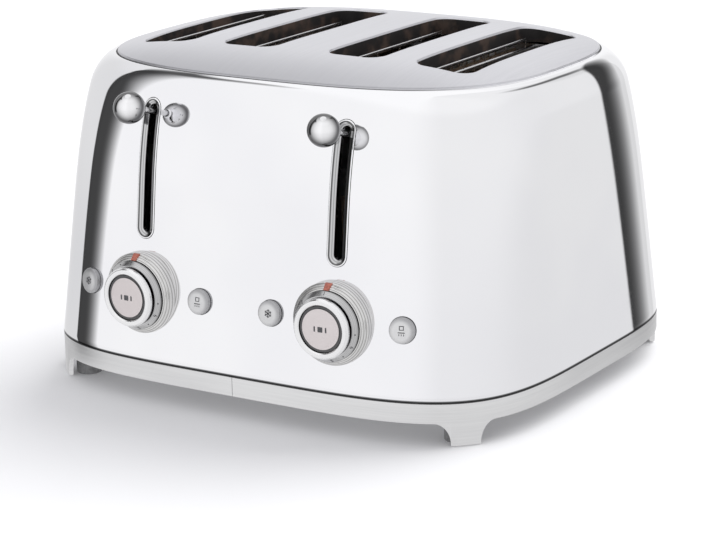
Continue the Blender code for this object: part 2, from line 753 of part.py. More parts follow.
# Toasting chambers
def chassis_front():
    half = CHASSIS_WIDTH / 2
    loops = [rectangle(-half, CHASSIS_BOTTOM, half, CHASSIS_TOP)]
    low = RACK_REST - LEVER_TRAVEL - 2 * SLIDE_GAP
    high = RACK_REST + RACK_HEIGHT + 2 * SLIDE_GAP
    reach = RACK_WIDTH / 2 + 2 * SLIDE_GAP
    for sign in (-1, 1):
        for place in SLOT_PLACES:
            x = sign * place
            loops.append(rectangle(x - reach, low, x + reach, high))
    mesh = flat_mesh("chassis_front", loops, CHASSIS_THICKNESS)
    place = (0, -CHASSIS_FRONT_PLACE + CHASSIS_THICKNESS / 2, 0)
    add("chassis_front", mesh, ZINC, place, FACE_FRONT)


def chassis_rear():
    half = CHASSIS_WIDTH / 2
    loop = [(half, CHASSIS_BOTTOM), (half, CHASSIS_TOP), (-half, CHASSIS_TOP), (-half, CHASSIS_BOTTOM)]
    far = TRAY_SIDE + SLIDE_GAP
    for low, high in ((-far, -CHASSIS_LEG), (CHASSIS_LEG, far)):
        loop += [(low, CHASSIS_BOTTOM), (low, CHASSIS_ARCH), (high, CHASSIS_ARCH), (high, CHASSIS_BOTTOM)]
    mesh = flat_mesh("chassis_rear", [loop], CHASSIS_THICKNESS)
    place = (0, CHASSIS_REAR_FACE + CHASSIS_THICKNESS / 2, 0)
    add("chassis_rear", mesh, ZINC, place, FACE_FRONT)


def heater_cards():
    outline = rectangle(CHAMBER_FRONT, CARD_LOW, CHAMBER_REAR, CARD_HIGH)
    mesh = flat_mesh("heater_card", [outline], CARD_THICKNESS)
    outer, middle, inner = SLOT_PLACES[1] + CARD_OFFSET, LEVER_PLACE, SLOT_PLACES[0] - CARD_OFFSET
    for number, x in enumerate((-outer, -middle, -inner, inner, middle, outer)):
        add("heater_card_" + str(number + 1), mesh, MICA, (x, 0, 0), FACE_SIDE)


def guard_mesh():
    loops = [rectangle(CHAMBER_FRONT, GUARD_LOW, CHAMBER_REAR, GUARD_HIGH)]
    pitch = (CHAMBER_REAR - CHAMBER_FRONT - GUARD_WIRE) / GUARD_WINDOWS
    for k in range(GUARD_WINDOWS):
        low = CHAMBER_FRONT + GUARD_WIRE + k * pitch
        high = low + pitch - GUARD_WIRE
        loops.append(rectangle(low, GUARD_LOW + GUARD_RAIL, high, GUARD_HIGH - GUARD_RAIL))
    return flat_mesh("bread_guard", loops, GUARD_THICKNESS)


def slot_places():
    # The four slots from left to right, with the lever side that works each.
    places = [-SLOT_PLACES[1], -SLOT_PLACES[0], SLOT_PLACES[0], SLOT_PLACES[1]]
    return list(enumerate(places, start=1))


def bread_guards():
    mesh = guard_mesh()
    for number, x in slot_places():
        for side, sign in SIDES:
            name = "bread_guard_" + str(number) + "_" + side
            place = (x + sign * (GUARD_OPEN + GUARD_THICKNESS / 2), 0, 0)
            add(name, mesh, ZINC, place, FACE_SIDE)


def bread_racks():
    front = -CARRIAGE_PLACE + CLEARANCE
    rear = CHAMBER_REAR
    pitch = (CHAMBER_REAR - CHAMBER_FRONT) / (RACK_NOTCHES + 1)
    top = RACK_HEIGHT
    loop = [(front, 0), (rear, 0), (rear, top)]
    for k in range(RACK_NOTCHES, 0, -1):
        y = CHAMBER_FRONT + k * pitch
        loop += [(y + pitch / 4, top), (y + pitch / 8, top - RACK_NOTCH)]
        loop += [(y - pitch / 8, top - RACK_NOTCH), (y - pitch / 4, top)]
    loop.append((front, top))
    mesh = flat_mesh("bread_rack", [loop], RACK_WIDTH)
    for number, x in slot_places():
        add("bread_rack_" + str(number), mesh, ZINC, (x, 0, RACK_REST), FACE_SIDE)


# Lever mechanisms
def carriages():
    bottom = RACK_REST - RACK_HEIGHT / 2
    top = STEM_HEIGHT + ARM_HEIGHT
    reach = SLOT_PITCH / 2 + RACK_WIDTH
    tongue = CARRIAGE_TONGUE / 2
    bar = bottom + CARRIAGE_BAR
    for side, sign in SIDES:
        x = sign * LEVER_PLACE
        loop = [(x - reach, bottom), (x + reach, bottom), (x + reach, bar), (x + tongue, bar)]
        loop += [(x + tongue, top), (x - tongue, top), (x - tongue, bar), (x - reach, bar)]
        name = "carriage_" + side
        place = (0, -CARRIAGE_PLACE - CARRIAGE_THICKNESS / 2, 0)
        carriage = add(name, flat_mesh(name, [loop], CARRIAGE_THICKNESS), ZINC, place, FACE_FRONT)
        rod_x, rod_y = rod_place(sign)
        low = (rod_x - BUSH_WIDTH / 2, rod_y - BUSH_DEPTH / 2, bottom + CLEARANCE)
        high = (rod_x + BUSH_WIDTH / 2, -CARRIAGE_PLACE - CARRIAGE_THICKNESS / 2, bottom + BUSH_HEIGHT)
        union_box(carriage, name + "_bush", low, high)
        bore = rod_mesh("bore_" + name, ROD_RADIUS + ROD_CLEARANCE, 0, BUSH_HEIGHT + 2 * CUT_OVERRUN)
        place = (rod_x, rod_y, bottom - CUT_OVERRUN)
        boolean(carriage, add("bore_" + name, bore, None, place, cutter=True))


def rod_place(sign):
    return sign * (LEVER_PLACE + ROD_PLACE), -CARRIAGE_PLACE - CARRIAGE_THICKNESS - BUSH_DEPTH / 2


def guide_rods():
    for side, sign in SIDES:
        x, y = rod_place(sign)
        rod = rod_mesh("guide_rod_" + side, ROD_RADIUS, CHASSIS_BOTTOM, CARD_HIGH)
        add("guide_rod_" + side, rod, ZINC, (x, y, 0))
        top = RACK_REST - RACK_HEIGHT / 2
        profile = [(SPRING_RADIUS, top), (SPRING_RADIUS, CHASSIS_BOTTOM)]
        profile += [(SPRING_BORE, CHASSIS_BOTTOM), (SPRING_BORE, top)]
        place = (x, y, 0)
        turned("return_spring_" + side, profile, ZINC, place, (0, 0, 0), ring=True, steps=SMALL_STEPS)


def electromagnets():
    top = RACK_REST - RACK_HEIGHT / 2 - LEVER_TRAVEL - SLIDE_GAP
    for side, sign in SIDES:
        name = "electromagnet_" + side
        x = sign * (LEVER_PLACE - MAGNET_PLACE)
        y = -CARRIAGE_PLACE - CARRIAGE_THICKNESS / 2
        half = MAGNET_BASE / 2
        low = (x - half, y - half, CHASSIS_BOTTOM)
        high = (x + half, y + half - CARRIAGE_THICKNESS, CHASSIS_BOTTOM + MAGNET_FOOT)
        magnet = add(name, box_mesh(name, low, high), COPPER)
        coil = rod_mesh(name + "_coil", MAGNET_RADIUS, CHASSIS_BOTTOM + MAGNET_FOOT / 2, top)
        place = (x, y - CARRIAGE_THICKNESS, 0)
        boolean(magnet, add(name + "_coil", coil, None, place, cutter=True), "UNION")


def lever_arms():
    # The stem leans up as it leaves the body, and runs into a socket in the ball.
    tilt = (pi / 2 - STEM_TILT, 0, 0)
    exit_depth = STEM_DEPTH + CARRIAGE_PLACE
    drop = ARM_SETBACK * tan(STEM_TILT)
    root = -(ARM_SETBACK + ARM_WIDTH) / cos(STEM_TILT)
    tip = BALL_STANDOFF - BALL_RADIUS + BALL_SOCKET - CLEARANCE
    socket = BALL_SOCKET - BALL_RADIUS
    for side, sign in SIDES:
        name = "lever_arm_" + side
        place = (sign * LEVER_PLACE, -CARRIAGE_PLACE, STEM_HEIGHT)
        pivot = empty("lever_" + side, place, parent=BODY_FRAME)
        low = (-ARM_WIDTH / 2, exit_depth + ARM_SETBACK, -drop - ARM_HEIGHT / 2)
        high = (ARM_WIDTH / 2, -CARRIAGE_THICKNESS - CLEARANCE, ARM_HEIGHT / 2 - drop)
        arm = add(name, box_mesh(name, low, high), ZINC, parent=pivot)
        bevel(arm, ARM_EDGE)
        stem = rod_mesh(name + "_stem", STEM_RADIUS, root, tip)
        boolean(arm, add(name + "_stem", stem, None, (0, exit_depth, 0), tilt, pivot, True), "UNION")
        name = "lever_ball_" + side
        bm = bmesh.new()
        rings = BALL_STEPS // 2
        bmesh.ops.create_uvsphere(bm, u_segments=BALL_STEPS, v_segments=rings, radius=BALL_RADIUS)
        centre = (0, BALL_DEPTH + CARRIAGE_PLACE, BALL_HEIGHT - STEM_HEIGHT)
        ball = add(name, to_mesh(name, bm), CHROME, centre, tilt, pivot)
        bore = rod_mesh("bore_" + name, STEM_RADIUS + CLEARANCE, -BALL_RADIUS - CUT_OVERRUN, socket)
        boolean(ball, add("bore_" + name, bore, None, centre, tilt, pivot, True))


# Slot trims. Each is a ring that follows the front surface, a little proud of it.
def trim_ring(x, inset, depth):
    width = SLOT_TRIM_WIDTH - 2 * inset
    outline = stadium(x, SLOT_TRIM_LOW + inset, SLOT_TRIM_HIGH - inset, width, END_STEPS, RISE_STEPS)
    return [(px, front_depth(px, pz) + depth, pz) for px, pz in outline]


def lever_slot_trims():
    inner = (SLOT_TRIM_WIDTH - LEVER_SLOT_WIDTH) / 2
    for side, sign in SIDES:
        x = sign * LEVER_PLACE
        rings = [trim_ring(x, 0, TRIM_DEPTH), trim_ring(x, 0, 0)]
        rings += [trim_ring(x, TRIM_ROUND, -TRIM_PROUD), trim_ring(x, inner - TRIM_ROUND, -TRIM_PROUD)]
        rings += [trim_ring(x, inner, 0), trim_ring(x, inner, TRIM_DEPTH)]
        name = "lever_slot_trim_" + side
        add(name, loft_mesh(name, rings, loop=True), CHROME)


# Controls
def bezel_place(sign):
    yaw, lean = surface_turn(LEVER_PLACE, CONTROL_HEIGHT)
    return (sign * LEVER_PLACE, KNOB_DEPTH, CONTROL_HEIGHT), (pi / 2 - lean, 0, sign * yaw)


def button_place(sign, step):
    x = LEVER_PLACE + step * BUTTON_SPREAD
    yaw, lean = surface_turn(x, CONTROL_HEIGHT)
    place = (sign * x, front_depth(x, CONTROL_HEIGHT), CONTROL_HEIGHT)
    return place, (pi / 2 - lean, 0, sign * yaw)


def knob_bezels():
    profile = [(BEZEL_BORE + BEZEL_LIP, BEZEL_PROUD), (BEZEL_RADIUS, BEZEL_EDGE)]
    profile += [(BEZEL_RADIUS, -BEZEL_DEPTH), (BEZEL_BORE, -BEZEL_DEPTH), (BEZEL_BORE, BEZEL_PROUD)]
    for side, sign in SIDES:
        turned("knob_bezel_" + side, profile, CHROME, *bezel_place(sign), ring=True)


def knob_dial(name, frame):
    rear = DIAL_RADIUS + DIAL_FLARE
    recess = STOP_RADIUS + STOP_GAP
    floor = DIAL_FRONT - DIAL_RECESS
    bore = TUBE_RADIUS + CLEARANCE
    rim = DIAL_RADIUS + DIAL_RIM_GROWTH
    rim_front = DIAL_RIM_REAR + DIAL_RIM_THICKNESS
    profile = rounded(DIAL_RADIUS, DIAL_FRONT, DIAL_ROUND)
    # The side spreads to a thin rim that stands in front of the leaning bezel and hides its bore.
    profile += [(DIAL_RADIUS, rim_front + DIAL_RIM_RISE), (rim, rim_front), (rim, DIAL_RIM_REAR)]
    profile += [(rear, DIAL_RIM_REAR), (rear, DIAL_REAR), (rear - DIAL_WALL, DIAL_REAR)]
    profile += [(rear - DIAL_WALL, floor - DIAL_WEB)]
    profile += [(HUB_RADIUS, floor - DIAL_WEB), (HUB_RADIUS, HUB_REAR), (bore, HUB_REAR), (bore, floor)]
    profile += [(recess, floor), (recess, DIAL_FRONT - DIAL_LIP), (recess + DIAL_LIP, DIAL_FRONT)]
    turned(name, profile, CHROME, (0, 0, 0), (0, 0, 0), frame, True)


def stop_button(name, frame):
    front = DIAL_FRONT - STOP_SETBACK
    back = front - STOP_THICKNESS
    deep = STOP_TRAVEL + SLIDE_GAP + BOARD_THICKNESS / 2 - BOARD_PLACE
    profile = [(0, front), (STOP_RADIUS / 2, front - STOP_DOME / 4)]
    profile += [(STOP_RADIUS - STOP_DOME, front - STOP_DOME), (STOP_RADIUS, front - 2 * STOP_DOME)]
    profile += [(STOP_RADIUS, back), (STOP_STEM, back)]
    profile += [(STOP_STEM, deep), (0, deep)]
    turned(name, profile, PEARL, (0, 0, 0), (0, 0, 0), frame)


def dial_encoder(name, frame):
    rear = BOARD_THICKNESS / 2 + CLEARANCE - BOARD_PLACE
    half = ENCODER_WIDTH / 2
    block = box_mesh(name, (-half, -half, rear), (half, half, rear + ENCODER_DEPTH))
    encoder = add(name, block, BLACK, parent=frame)
    tube = rod_mesh(name + "_tube", TUBE_RADIUS, rear + ENCODER_DEPTH / 2, TUBE_FRONT, TURN_STEPS)
    boolean(encoder, add(name + "_tube", tube, None, parent=frame, cutter=True), "UNION")
    drill = rod_mesh("bore_" + name, TUBE_BORE, rear - CUT_OVERRUN, TUBE_FRONT + CUT_OVERRUN, TURN_STEPS)
    boolean(encoder, add("bore_" + name, drill, None, parent=frame, cutter=True))


def controls():
    for side, sign in SIDES:
        turn = (pi / 2, 0, sign * KNOB_YAW)
        place = (sign * LEVER_PLACE, KNOB_DEPTH, CONTROL_HEIGHT)
        frame = empty("controls_" + side, place, turn, BODY_FRAME)
        knob_dial("knob_dial_" + side, frame)
        stop_button("stop_button_" + side, frame)
        dial_encoder("dial_encoder_" + side, frame)
        control_board("control_board_" + side, sign, frame)


def control_board(name, sign, frame):
    half_width = BOARD_WIDTH / 2
    half_height = BOARD_HEIGHT / 2
    low = (-half_width, -half_height, -BOARD_PLACE - BOARD_THICKNESS / 2)
    high = (half_width, half_height, -BOARD_PLACE + BOARD_THICKNESS / 2)
    board = add(name, box_mesh(name, low, high), BOARD_GREEN, parent=frame)
    # Posts run back to the chassis, which they meet square to the board.
    for k, (px, py) in enumerate(((-1, -1), (1, -1), (1, 1), (-1, 1))):
        x = px * POST_SPREAD / 2
        y = py * POST_RISE / 2
        turn = sign * KNOB_YAW
        gap = KNOB_DEPTH + CHASSIS_FRONT_PLACE + x * sin(turn)
        back = (gap + CLEARANCE + POST_RADIUS * abs(sin(turn))) / cos(turn)
        post = name + "_post_" + str(k + 1)
        mesh = rod_mesh(post, POST_RADIUS, back, -BOARD_PLACE)
        boolean(board, add(post, mesh, None, (x, y, 0), parent=frame, cutter=True), "UNION")
    for where, step in (("outer", 1), ("inner", -1)):
        # A switch stands behind each button, short of the button's pressed place.
        x = LEVER_PLACE + step * BUTTON_SPREAD
        depth = front_depth(x, CONTROL_HEIGHT) - KNOB_DEPTH
        yaw, lean = surface_turn(x, CONTROL_HEIGHT)
        reach = BUTTON_DEPTH + BUTTON_STEM
        across = step * BUTTON_SPREAD * cos(KNOB_YAW) + depth * sin(KNOB_YAW)
        across -= reach * sin(yaw - KNOB_YAW) * cos(lean)
        face = step * BUTTON_SPREAD * sin(KNOB_YAW) - depth * cos(KNOB_YAW)
        face -= reach * cos(yaw - KNOB_YAW) * cos(lean) + BUTTON_TRAVEL + SWITCH_CLEARANCE
        half = SWITCH_WIDTH / 2
        centre = (sign * across, -reach * sin(lean))
        corner_low = (centre[0] - half, centre[1] - half, -BOARD_PLACE)
        corner_high = (centre[0] + half, centre[1] + half, face)
        union_box(board, name + "_switch_" + where, corner_low, corner_high, frame)


def function_buttons():
    rear = -BUTTON_DEPTH
    flange = BUTTON_RADIUS + BUTTON_FLANGE
    middle = BUTTON_PROUD + BUTTON_CROWN_SHARE * BUTTON_DOME
    profile = [(0, BUTTON_PROUD + BUTTON_DOME), (BUTTON_RADIUS / 2, middle)]
    profile += rounded(BUTTON_RADIUS, BUTTON_PROUD, BUTTON_ROUND)
    profile += [(BUTTON_RADIUS, rear + BUTTON_FLANGE), (flange, rear + BUTTON_FLANGE), (flange, rear)]
    tip = rear - BUTTON_STEM
    profile += [(BUTTON_STEM_RADIUS, rear), (BUTTON_STEM_RADIUS, tip), (0, tip)]
    for number, (sign, step) in enumerate(((-1, 1), (-1, -1), (1, -1), (1, 1)), start=1):
        place, turn = button_place(sign, step)
        turned("function_button_" + str(number), profile, PEARL, place, turn, steps=BUTTON_STEPS)


def gland_place():
    return (0, GLAND_DEPTH, GLAND_HEIGHT), (GLAND_LEAN - pi / 2, 0, 0)


def cord_gland():
    profile = rounded(GLAND_FLANGE, GLAND_PROUD, GLAND_ROUND)
    rear = GLAND_PROUD - GLAND_LENGTH
    profile += [(GLAND_FLANGE, CLEARANCE), (GLAND_RADIUS, CLEARANCE), (GLAND_RADIUS, rear)]
    profile += [(GLAND_BORE, rear), (GLAND_BORE, GLAND_PROUD)]
    turned("cord_gland", profile, BLACK, *gland_place(), ring=True, steps=BUTTON_STEPS)


body_shell()
top_plate()
base_trims()
foot_pads()
base_pan()
crumb_trays()
chassis_front()
chassis_rear()
heater_cards()
bread_guards()
bread_racks()
carriages()
guide_rods()
electromagnets()
lever_arms()
lever_slot_trims()
knob_bezels()
controls()
function_buttons()
cord_gland()

bpy.context.view_layer.update()
print("part has", len([o for o in PART.objects if o.type == "MESH"]), "pieces")
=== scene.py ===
# Four-slot toaster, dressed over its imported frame.
# Metres, +Z up, the front faces -Y, and the origin is on the table under the middle.
import json
import math

import bmesh
import bpy
import numpy as np
from mathutils import Matrix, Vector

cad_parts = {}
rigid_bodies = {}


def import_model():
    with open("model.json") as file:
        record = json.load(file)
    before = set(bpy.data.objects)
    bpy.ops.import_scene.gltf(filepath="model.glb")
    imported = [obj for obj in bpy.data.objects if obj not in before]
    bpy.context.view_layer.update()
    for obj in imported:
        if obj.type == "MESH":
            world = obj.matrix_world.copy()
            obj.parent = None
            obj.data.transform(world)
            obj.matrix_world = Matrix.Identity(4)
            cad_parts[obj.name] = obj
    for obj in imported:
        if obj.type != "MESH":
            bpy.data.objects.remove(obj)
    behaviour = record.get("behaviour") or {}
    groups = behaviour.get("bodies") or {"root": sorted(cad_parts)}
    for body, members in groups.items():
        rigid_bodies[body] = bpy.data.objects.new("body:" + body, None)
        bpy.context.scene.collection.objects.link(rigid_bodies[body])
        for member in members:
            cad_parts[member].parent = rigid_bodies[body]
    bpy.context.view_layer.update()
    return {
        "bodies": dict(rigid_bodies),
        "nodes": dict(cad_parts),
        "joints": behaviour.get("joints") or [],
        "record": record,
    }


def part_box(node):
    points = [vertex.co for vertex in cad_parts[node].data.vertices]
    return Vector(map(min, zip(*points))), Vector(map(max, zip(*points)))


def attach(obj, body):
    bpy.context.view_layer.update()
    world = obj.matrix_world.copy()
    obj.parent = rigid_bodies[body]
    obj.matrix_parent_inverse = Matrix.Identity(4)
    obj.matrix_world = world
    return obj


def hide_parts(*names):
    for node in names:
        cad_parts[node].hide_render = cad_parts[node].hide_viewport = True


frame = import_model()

nodes = frame["nodes"]
sides = (("left", -1), ("right", 1))
print("frame loaded:", len(nodes), "nodes")

# The cover's own numbers, the same as in the part's source
form = {
    "width": 0.360,
    "depth": 0.3134,
    "bottom": 0.0291,
    "height": 0.1850,
    "wall": 0.0010,
    "baseSquareness": 4.2,
    "rimSquareness": 3.0,
    "squarenessRate": 2.7,
    "sideLean": 0.0141,
    "sideBulge": 0.0044,
    "sideShoulder": 0.0158,
    "sideShoulderStart": 0.89,
    "frontLean": 0.0286,
    "frontBulge": 0.0080,
    "frontShoulder": 0.0161,
    "frontShoulderStart": 0.60,
    "shoulderTurn": 0.99,
}
bandLow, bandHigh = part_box("base_trim_left")
shiftY = (bandLow.y + bandHigh.y) / 2  # the body's middle, a little behind the origin
trimLow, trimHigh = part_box("lever_slot_trim_right")
leverX = (trimLow.x + trimHigh.x) / 2
rimHeight = form["bottom"] + form["height"]


# Shape of the cover

def shoulderTurn(share, start):
    # A quarter ellipse: 1 - sqrt(1 - w*w), where w runs from 0 at the start share to 0.99 at the rim.
    w = form["shoulderTurn"] * np.clip((share - start) / (1 - start), 0, 1)
    return 1 - np.sqrt(1 - w * w)


def section(z):
    # Half width, half depth and power at height z: both halves lose a lean, win back a bulge and lose
    # the shoulder, and the power falls from 4.2 to 3 with the share to the power 2.7.
    share = np.clip((z - form["bottom"]) / form["height"], 0, 1)
    side = form["sideLean"] * share - form["sideBulge"] * share ** 2
    side = side + form["sideShoulder"] * shoulderTurn(share, form["sideShoulderStart"])
    front = form["frontLean"] * share - form["frontBulge"] * share ** 2
    front = front + form["frontShoulder"] * shoulderTurn(share, form["frontShoulderStart"])
    drop = form["baseSquareness"] - form["rimSquareness"]
    power = form["baseSquareness"] - drop * share ** form["squarenessRate"]
    return form["width"] / 2 - side, form["depth"] / 2 - front, power


def reach(x, y, z):
    # 1 on the cover, less inside it: (|x/a|^n + |y/b|^n)^(1/n)
    a, b, n = section(z)
    return (np.abs(x / a) ** n + np.abs((y - shiftY) / b) ** n) ** (1 / n)


def ringAt(a, b, n, z, angle):
    # The superellipse by angle: radius = (|cos/a|^n + |sin/b|^n)^(-1/n)
    c, s = np.cos(angle), np.sin(angle)
    radius = (np.abs(c / a) ** n + np.abs(s / b) ** n) ** (-1 / n)
    return np.stack(np.broadcast_arrays(radius * c, radius * s + shiftY, z), -1)


def frontY(x, z):
    # The front of the same superellipse: y = -b * (1 - |x/a|^n)^(1/n)
    a, b, n = section(z)
    return shiftY - b * (1 - np.abs(x / a) ** n) ** (1 / n)


def coverNormal(points):
    # The gradient of the reach, taken from small steps inwards.
    step = 2e-6
    x, y, z = points[:, 0], points[:, 1], points[:, 2]
    here = reach(x, y, z)
    gradient = np.stack([
        reach(x + step, y, z) - reach(x - step, y, z),
        reach(x, y + step, z) - reach(x, y - step, z),
        2 * (here - reach(x, y, z - step)),
    ], -1)
    return gradient / np.linalg.norm(gradient, axis=1, keepdims=True)


def seatOn(x, z, leans=True):
    # Origin and axes of a round piece on the front: right, up and out of the surface.
    step = 0.0003
    yaw = math.atan((frontY(x + step, z) - frontY(x - step, z)) / (2 * step))
    lean = math.atan((frontY(x, z + step) - frontY(x, z - step)) / (2 * step)) if leans else 0
    right = np.array([math.cos(yaw), math.sin(yaw), 0])
    out = np.array([math.sin(yaw) * math.cos(lean), -math.cos(yaw) * math.cos(lean), math.sin(lean)])
    return np.array([x, float(frontY(x, z)), z]), right, np.cross(out, right), out


# Mesh making

def gridFaces(rows, cols, wrapRows=False, wrapCols=True):
    # Quads between neighbouring rows and columns of a grid of points.
    i = np.arange(rows if wrapRows else rows - 1)[:, None]
    j = np.arange(cols if wrapCols else cols - 1)[None, :]
    up, along = (i + 1) % rows, (j + 1) % cols
    corners = (i * cols + j, i * cols + along, up * cols + along, up * cols + j)
    return np.stack(np.broadcast_arrays(*corners), -1).reshape(-1, 4)


def gridPart(points, wrapRows=False, wrapCols=True, caps=True, finish=0):
    # One closed part from a grid of points; open ends of wrapped columns get a flat cap each.
    # The finish is one number, or one for each row of faces.
    rows, cols = points.shape[:2]
    faces = gridFaces(rows, cols, wrapRows, wrapCols).tolist()
    if caps and wrapCols and not wrapRows:
        faces.append(list(range(cols))[::-1])
        faces.append(list(range((rows - 1) * cols, rows * cols)))
    if caps and wrapRows and not wrapCols:
        faces.append([i * cols for i in range(rows)])
        faces.append([i * cols + cols - 1 for i in range(rows)][::-1])
    return points.reshape(-1, 3), faces, finish


def roundedPath(corners, steps=5, closed=False):
    # Corners are (u, v) or (u, v, radius): each radius becomes an arc that touches both sides.
    path = []
    count = len(corners)
    for k, corner in enumerate(corners):
        here = np.array(corner[:2], float)
        radius = corner[2] if len(corner) > 2 else 0
        if radius == 0 or (not closed and k in (0, count - 1)):
            path.append(here)
            continue
        back = np.array(corners[k - 1][:2], float) - here
        ahead = np.array(corners[(k + 1) % count][:2], float) - here
        back, ahead = back / np.linalg.norm(back), ahead / np.linalg.norm(ahead)
        half = math.acos(np.clip(back @ ahead, -1, 1)) / 2
        middle = (back + ahead) / np.linalg.norm(back + ahead)
        centre = here + middle * radius / math.sin(half)
        first = here + back * radius / math.tan(half) - centre
        last = here + ahead * radius / math.tan(half) - centre
        turn = math.atan2(first[0] * last[1] - first[1] * last[0], first @ last)
        for a in np.linspace(0, turn, steps + 1):
            c, s = math.cos(a), math.sin(a)
            path.append(centre + np.array([c * first[0] - s * first[1], s * first[0] + c * first[1]]))
    return np.array(path)


def turnedPart(profile, seat, steps=128, closed=False, finish=0):
    # The profile (radius, height) carried round the seat's outward axis.
    origin, right, up, out = seat
    angle = np.linspace(0, 2 * math.pi, steps, endpoint=False)
    radial = np.cos(angle)[:, None] * right + np.sin(angle)[:, None] * up
    points = origin + profile[:, 0, None, None] * radial + profile[:, 1, None, None] * out
    return gridPart(points, wrapRows=closed, caps=False, finish=finish)


def rodParts(starts, ends, width, depth, sideways, sides=8, finish=0):
    # Many straight rods at once: an ellipse of width by depth carried from each start to each end.
    # A rod with four sides has its flats, not its corners, at that width and depth.
    starts, ends, sideways = (np.asarray(v, float) for v in (starts, ends, sideways))
    along = (ends - starts) / np.linalg.norm(ends - starts, axis=1, keepdims=True)
    other = np.cross(along, sideways)
    angle = (np.arange(sides) + 0.5) * 2 * math.pi / sides
    scale = 1 / math.cos(math.pi / sides) if sides == 4 else 1
    across = np.cos(angle)[:, None] * sideways * width
    ring = (across + np.sin(angle)[:, None] * other[:, None] * depth) * scale / 2
    points = np.stack([starts[:, None] + ring, ends[:, None] + ring], 1)
    count = len(starts)
    base = (np.arange(count) * 2 * sides)[:, None, None]
    quads = (gridFaces(2, sides)[None] + base).reshape(-1, 4).tolist()
    low = (np.arange(sides)[::-1][None] + base[:, :, 0]).tolist()
    high = (np.arange(sides, 2 * sides)[None] + base[:, :, 0]).tolist()
    return points.reshape(-1, 3), quads + low + high, finish


def prism(outline, low, high, axis):
    # A flat outline carried from low to high along axis 1 (outline in x, z) or axis 2 (outline in x, y).
    levels = []
    for level in (low, high):
        ring = np.zeros((len(outline), 3))
        ring[:, 0] = outline[:, 0]
        ring[:, 3 - axis] = outline[:, 1]
        ring[:, axis] = level
        levels.append(ring)
    return gridPart(np.stack(levels))


def rawObject(name, parts):
    # One object from closed parts, each with its own finish, normals facing outwards.
    verts, faces, finishes, start = [], [], [], 0
    for points, partFaces, finish in parts:
        verts.append(points)
        faces += [[start + k for k in face] for face in partFaces] if start else partFaces
        if isinstance(finish, int):
            finishes += [finish] * len(partFaces)
        else:
            finishes += np.repeat(finish, len(partFaces) // len(finish)).tolist()
        start += len(points)
    mesh = bpy.data.meshes.new(name)
    mesh.from_pydata(np.concatenate(verts).tolist(), [], faces)
    mesh.polygons.foreach_set("material_index", finishes)
    work = bmesh.new()
    work.from_mesh(mesh)
    bmesh.ops.remove_doubles(work, verts=work.verts, dist=1e-7)
    bmesh.ops.recalc_face_normals(work, faces=work.faces)
    work.to_mesh(mesh)
    work.free()
    obj = bpy.data.objects.new(name, mesh)
    bpy.context.scene.collection.objects.link(obj)
    return obj


def smoothShade(obj, sharpAngle):
    mesh = obj.data
    mesh.polygons.foreach_set("use_smooth", np.ones(len(mesh.polygons), bool))
    mesh.set_sharp_from_angle(angle=math.radians(sharpAngle))
    mesh.update()


def addPiece(name, parts, finishes, rides, replaced=(), sharpAngle=35):
    obj = rawObject(name, parts)
    for finish in finishes:
        obj.data.materials.append(finish)
    smoothShade(obj, sharpAngle)
    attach(obj, rides)
    if replaced:
        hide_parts(*replaced)
    return obj


def readAll(items, key, width=1, kind=float):
    # One value or vector of each item, as an array.
    values = np.zeros(len(items) * width, kind)
    items.foreach_get(key, values)
    return values.reshape(-1, width) if width > 1 else values


def noteSeat(obj, seat):
    # Keeps each point's place across, up and out of the seat, for the finishes that follow it.
    origin, *axes = seat
    mesh = obj.data
    away = readAll(mesh.vertices, "co", 3) - origin
    for name, axis in zip(("seatAcross", "seatUp", "seatOut"), axes):
        mesh.attributes.new(name, "FLOAT", "POINT").data.foreach_set("value", away @ axis)


def cutAway(obj, parts, sharpAngle=35):
    # Takes closed parts out of a piece and keeps the result as its mesh.
    cutter = rawObject(obj.name + "Cutter", parts)
    tool = obj.modifiers.new("cut", "BOOLEAN")
    tool.operation = "DIFFERENCE"
    tool.solver = "EXACT"
    tool.object = cutter
    evaluated = obj.evaluated_get(bpy.context.evaluated_depsgraph_get())
    mesh = bpy.data.meshes.new_from_object(evaluated)
    obj.modifiers.clear()
    old = obj.data
    obj.data = mesh
    bpy.data.meshes.remove(old)
    bpy.data.objects.remove(cutter)
    smoothShade(obj, sharpAngle)


def setNormals(obj, pointOn, normalOf):
    # Gives corners whose whole face lies on the true surface that surface's own normal.
    mesh = obj.data
    co = readAll(mesh.vertices, "co", 3)
    onSurface = pointOn(co)
    exact = np.zeros_like(co)
    exact[onSurface] = normalOf(co[onSurface])
    corners = readAll(mesh.corner_normals, "vector", 3, np.float32)
    vertex = readAll(mesh.loops, "vertex_index", 1, np.int32)
    starts = readAll(mesh.polygons, "loop_start", 1, np.int32)
    totals = readAll(mesh.polygons, "loop_total", 1, np.int32)
    faceNormal = readAll(mesh.polygons, "normal", 3, np.float32)
    owner = np.repeat(np.arange(len(starts)), totals)
    wholeFace = np.minimum.reduceat(onSurface[vertex].astype(np.int8), starts) > 0
    agrees = (exact[vertex] * faceNormal[owner]).sum(1) > 0.6
    use = wholeFace[owner] & agrees
    corners[use] = exact[vertex][use]
    mesh.normals_split_custom_set(corners.tolist())


# Node making

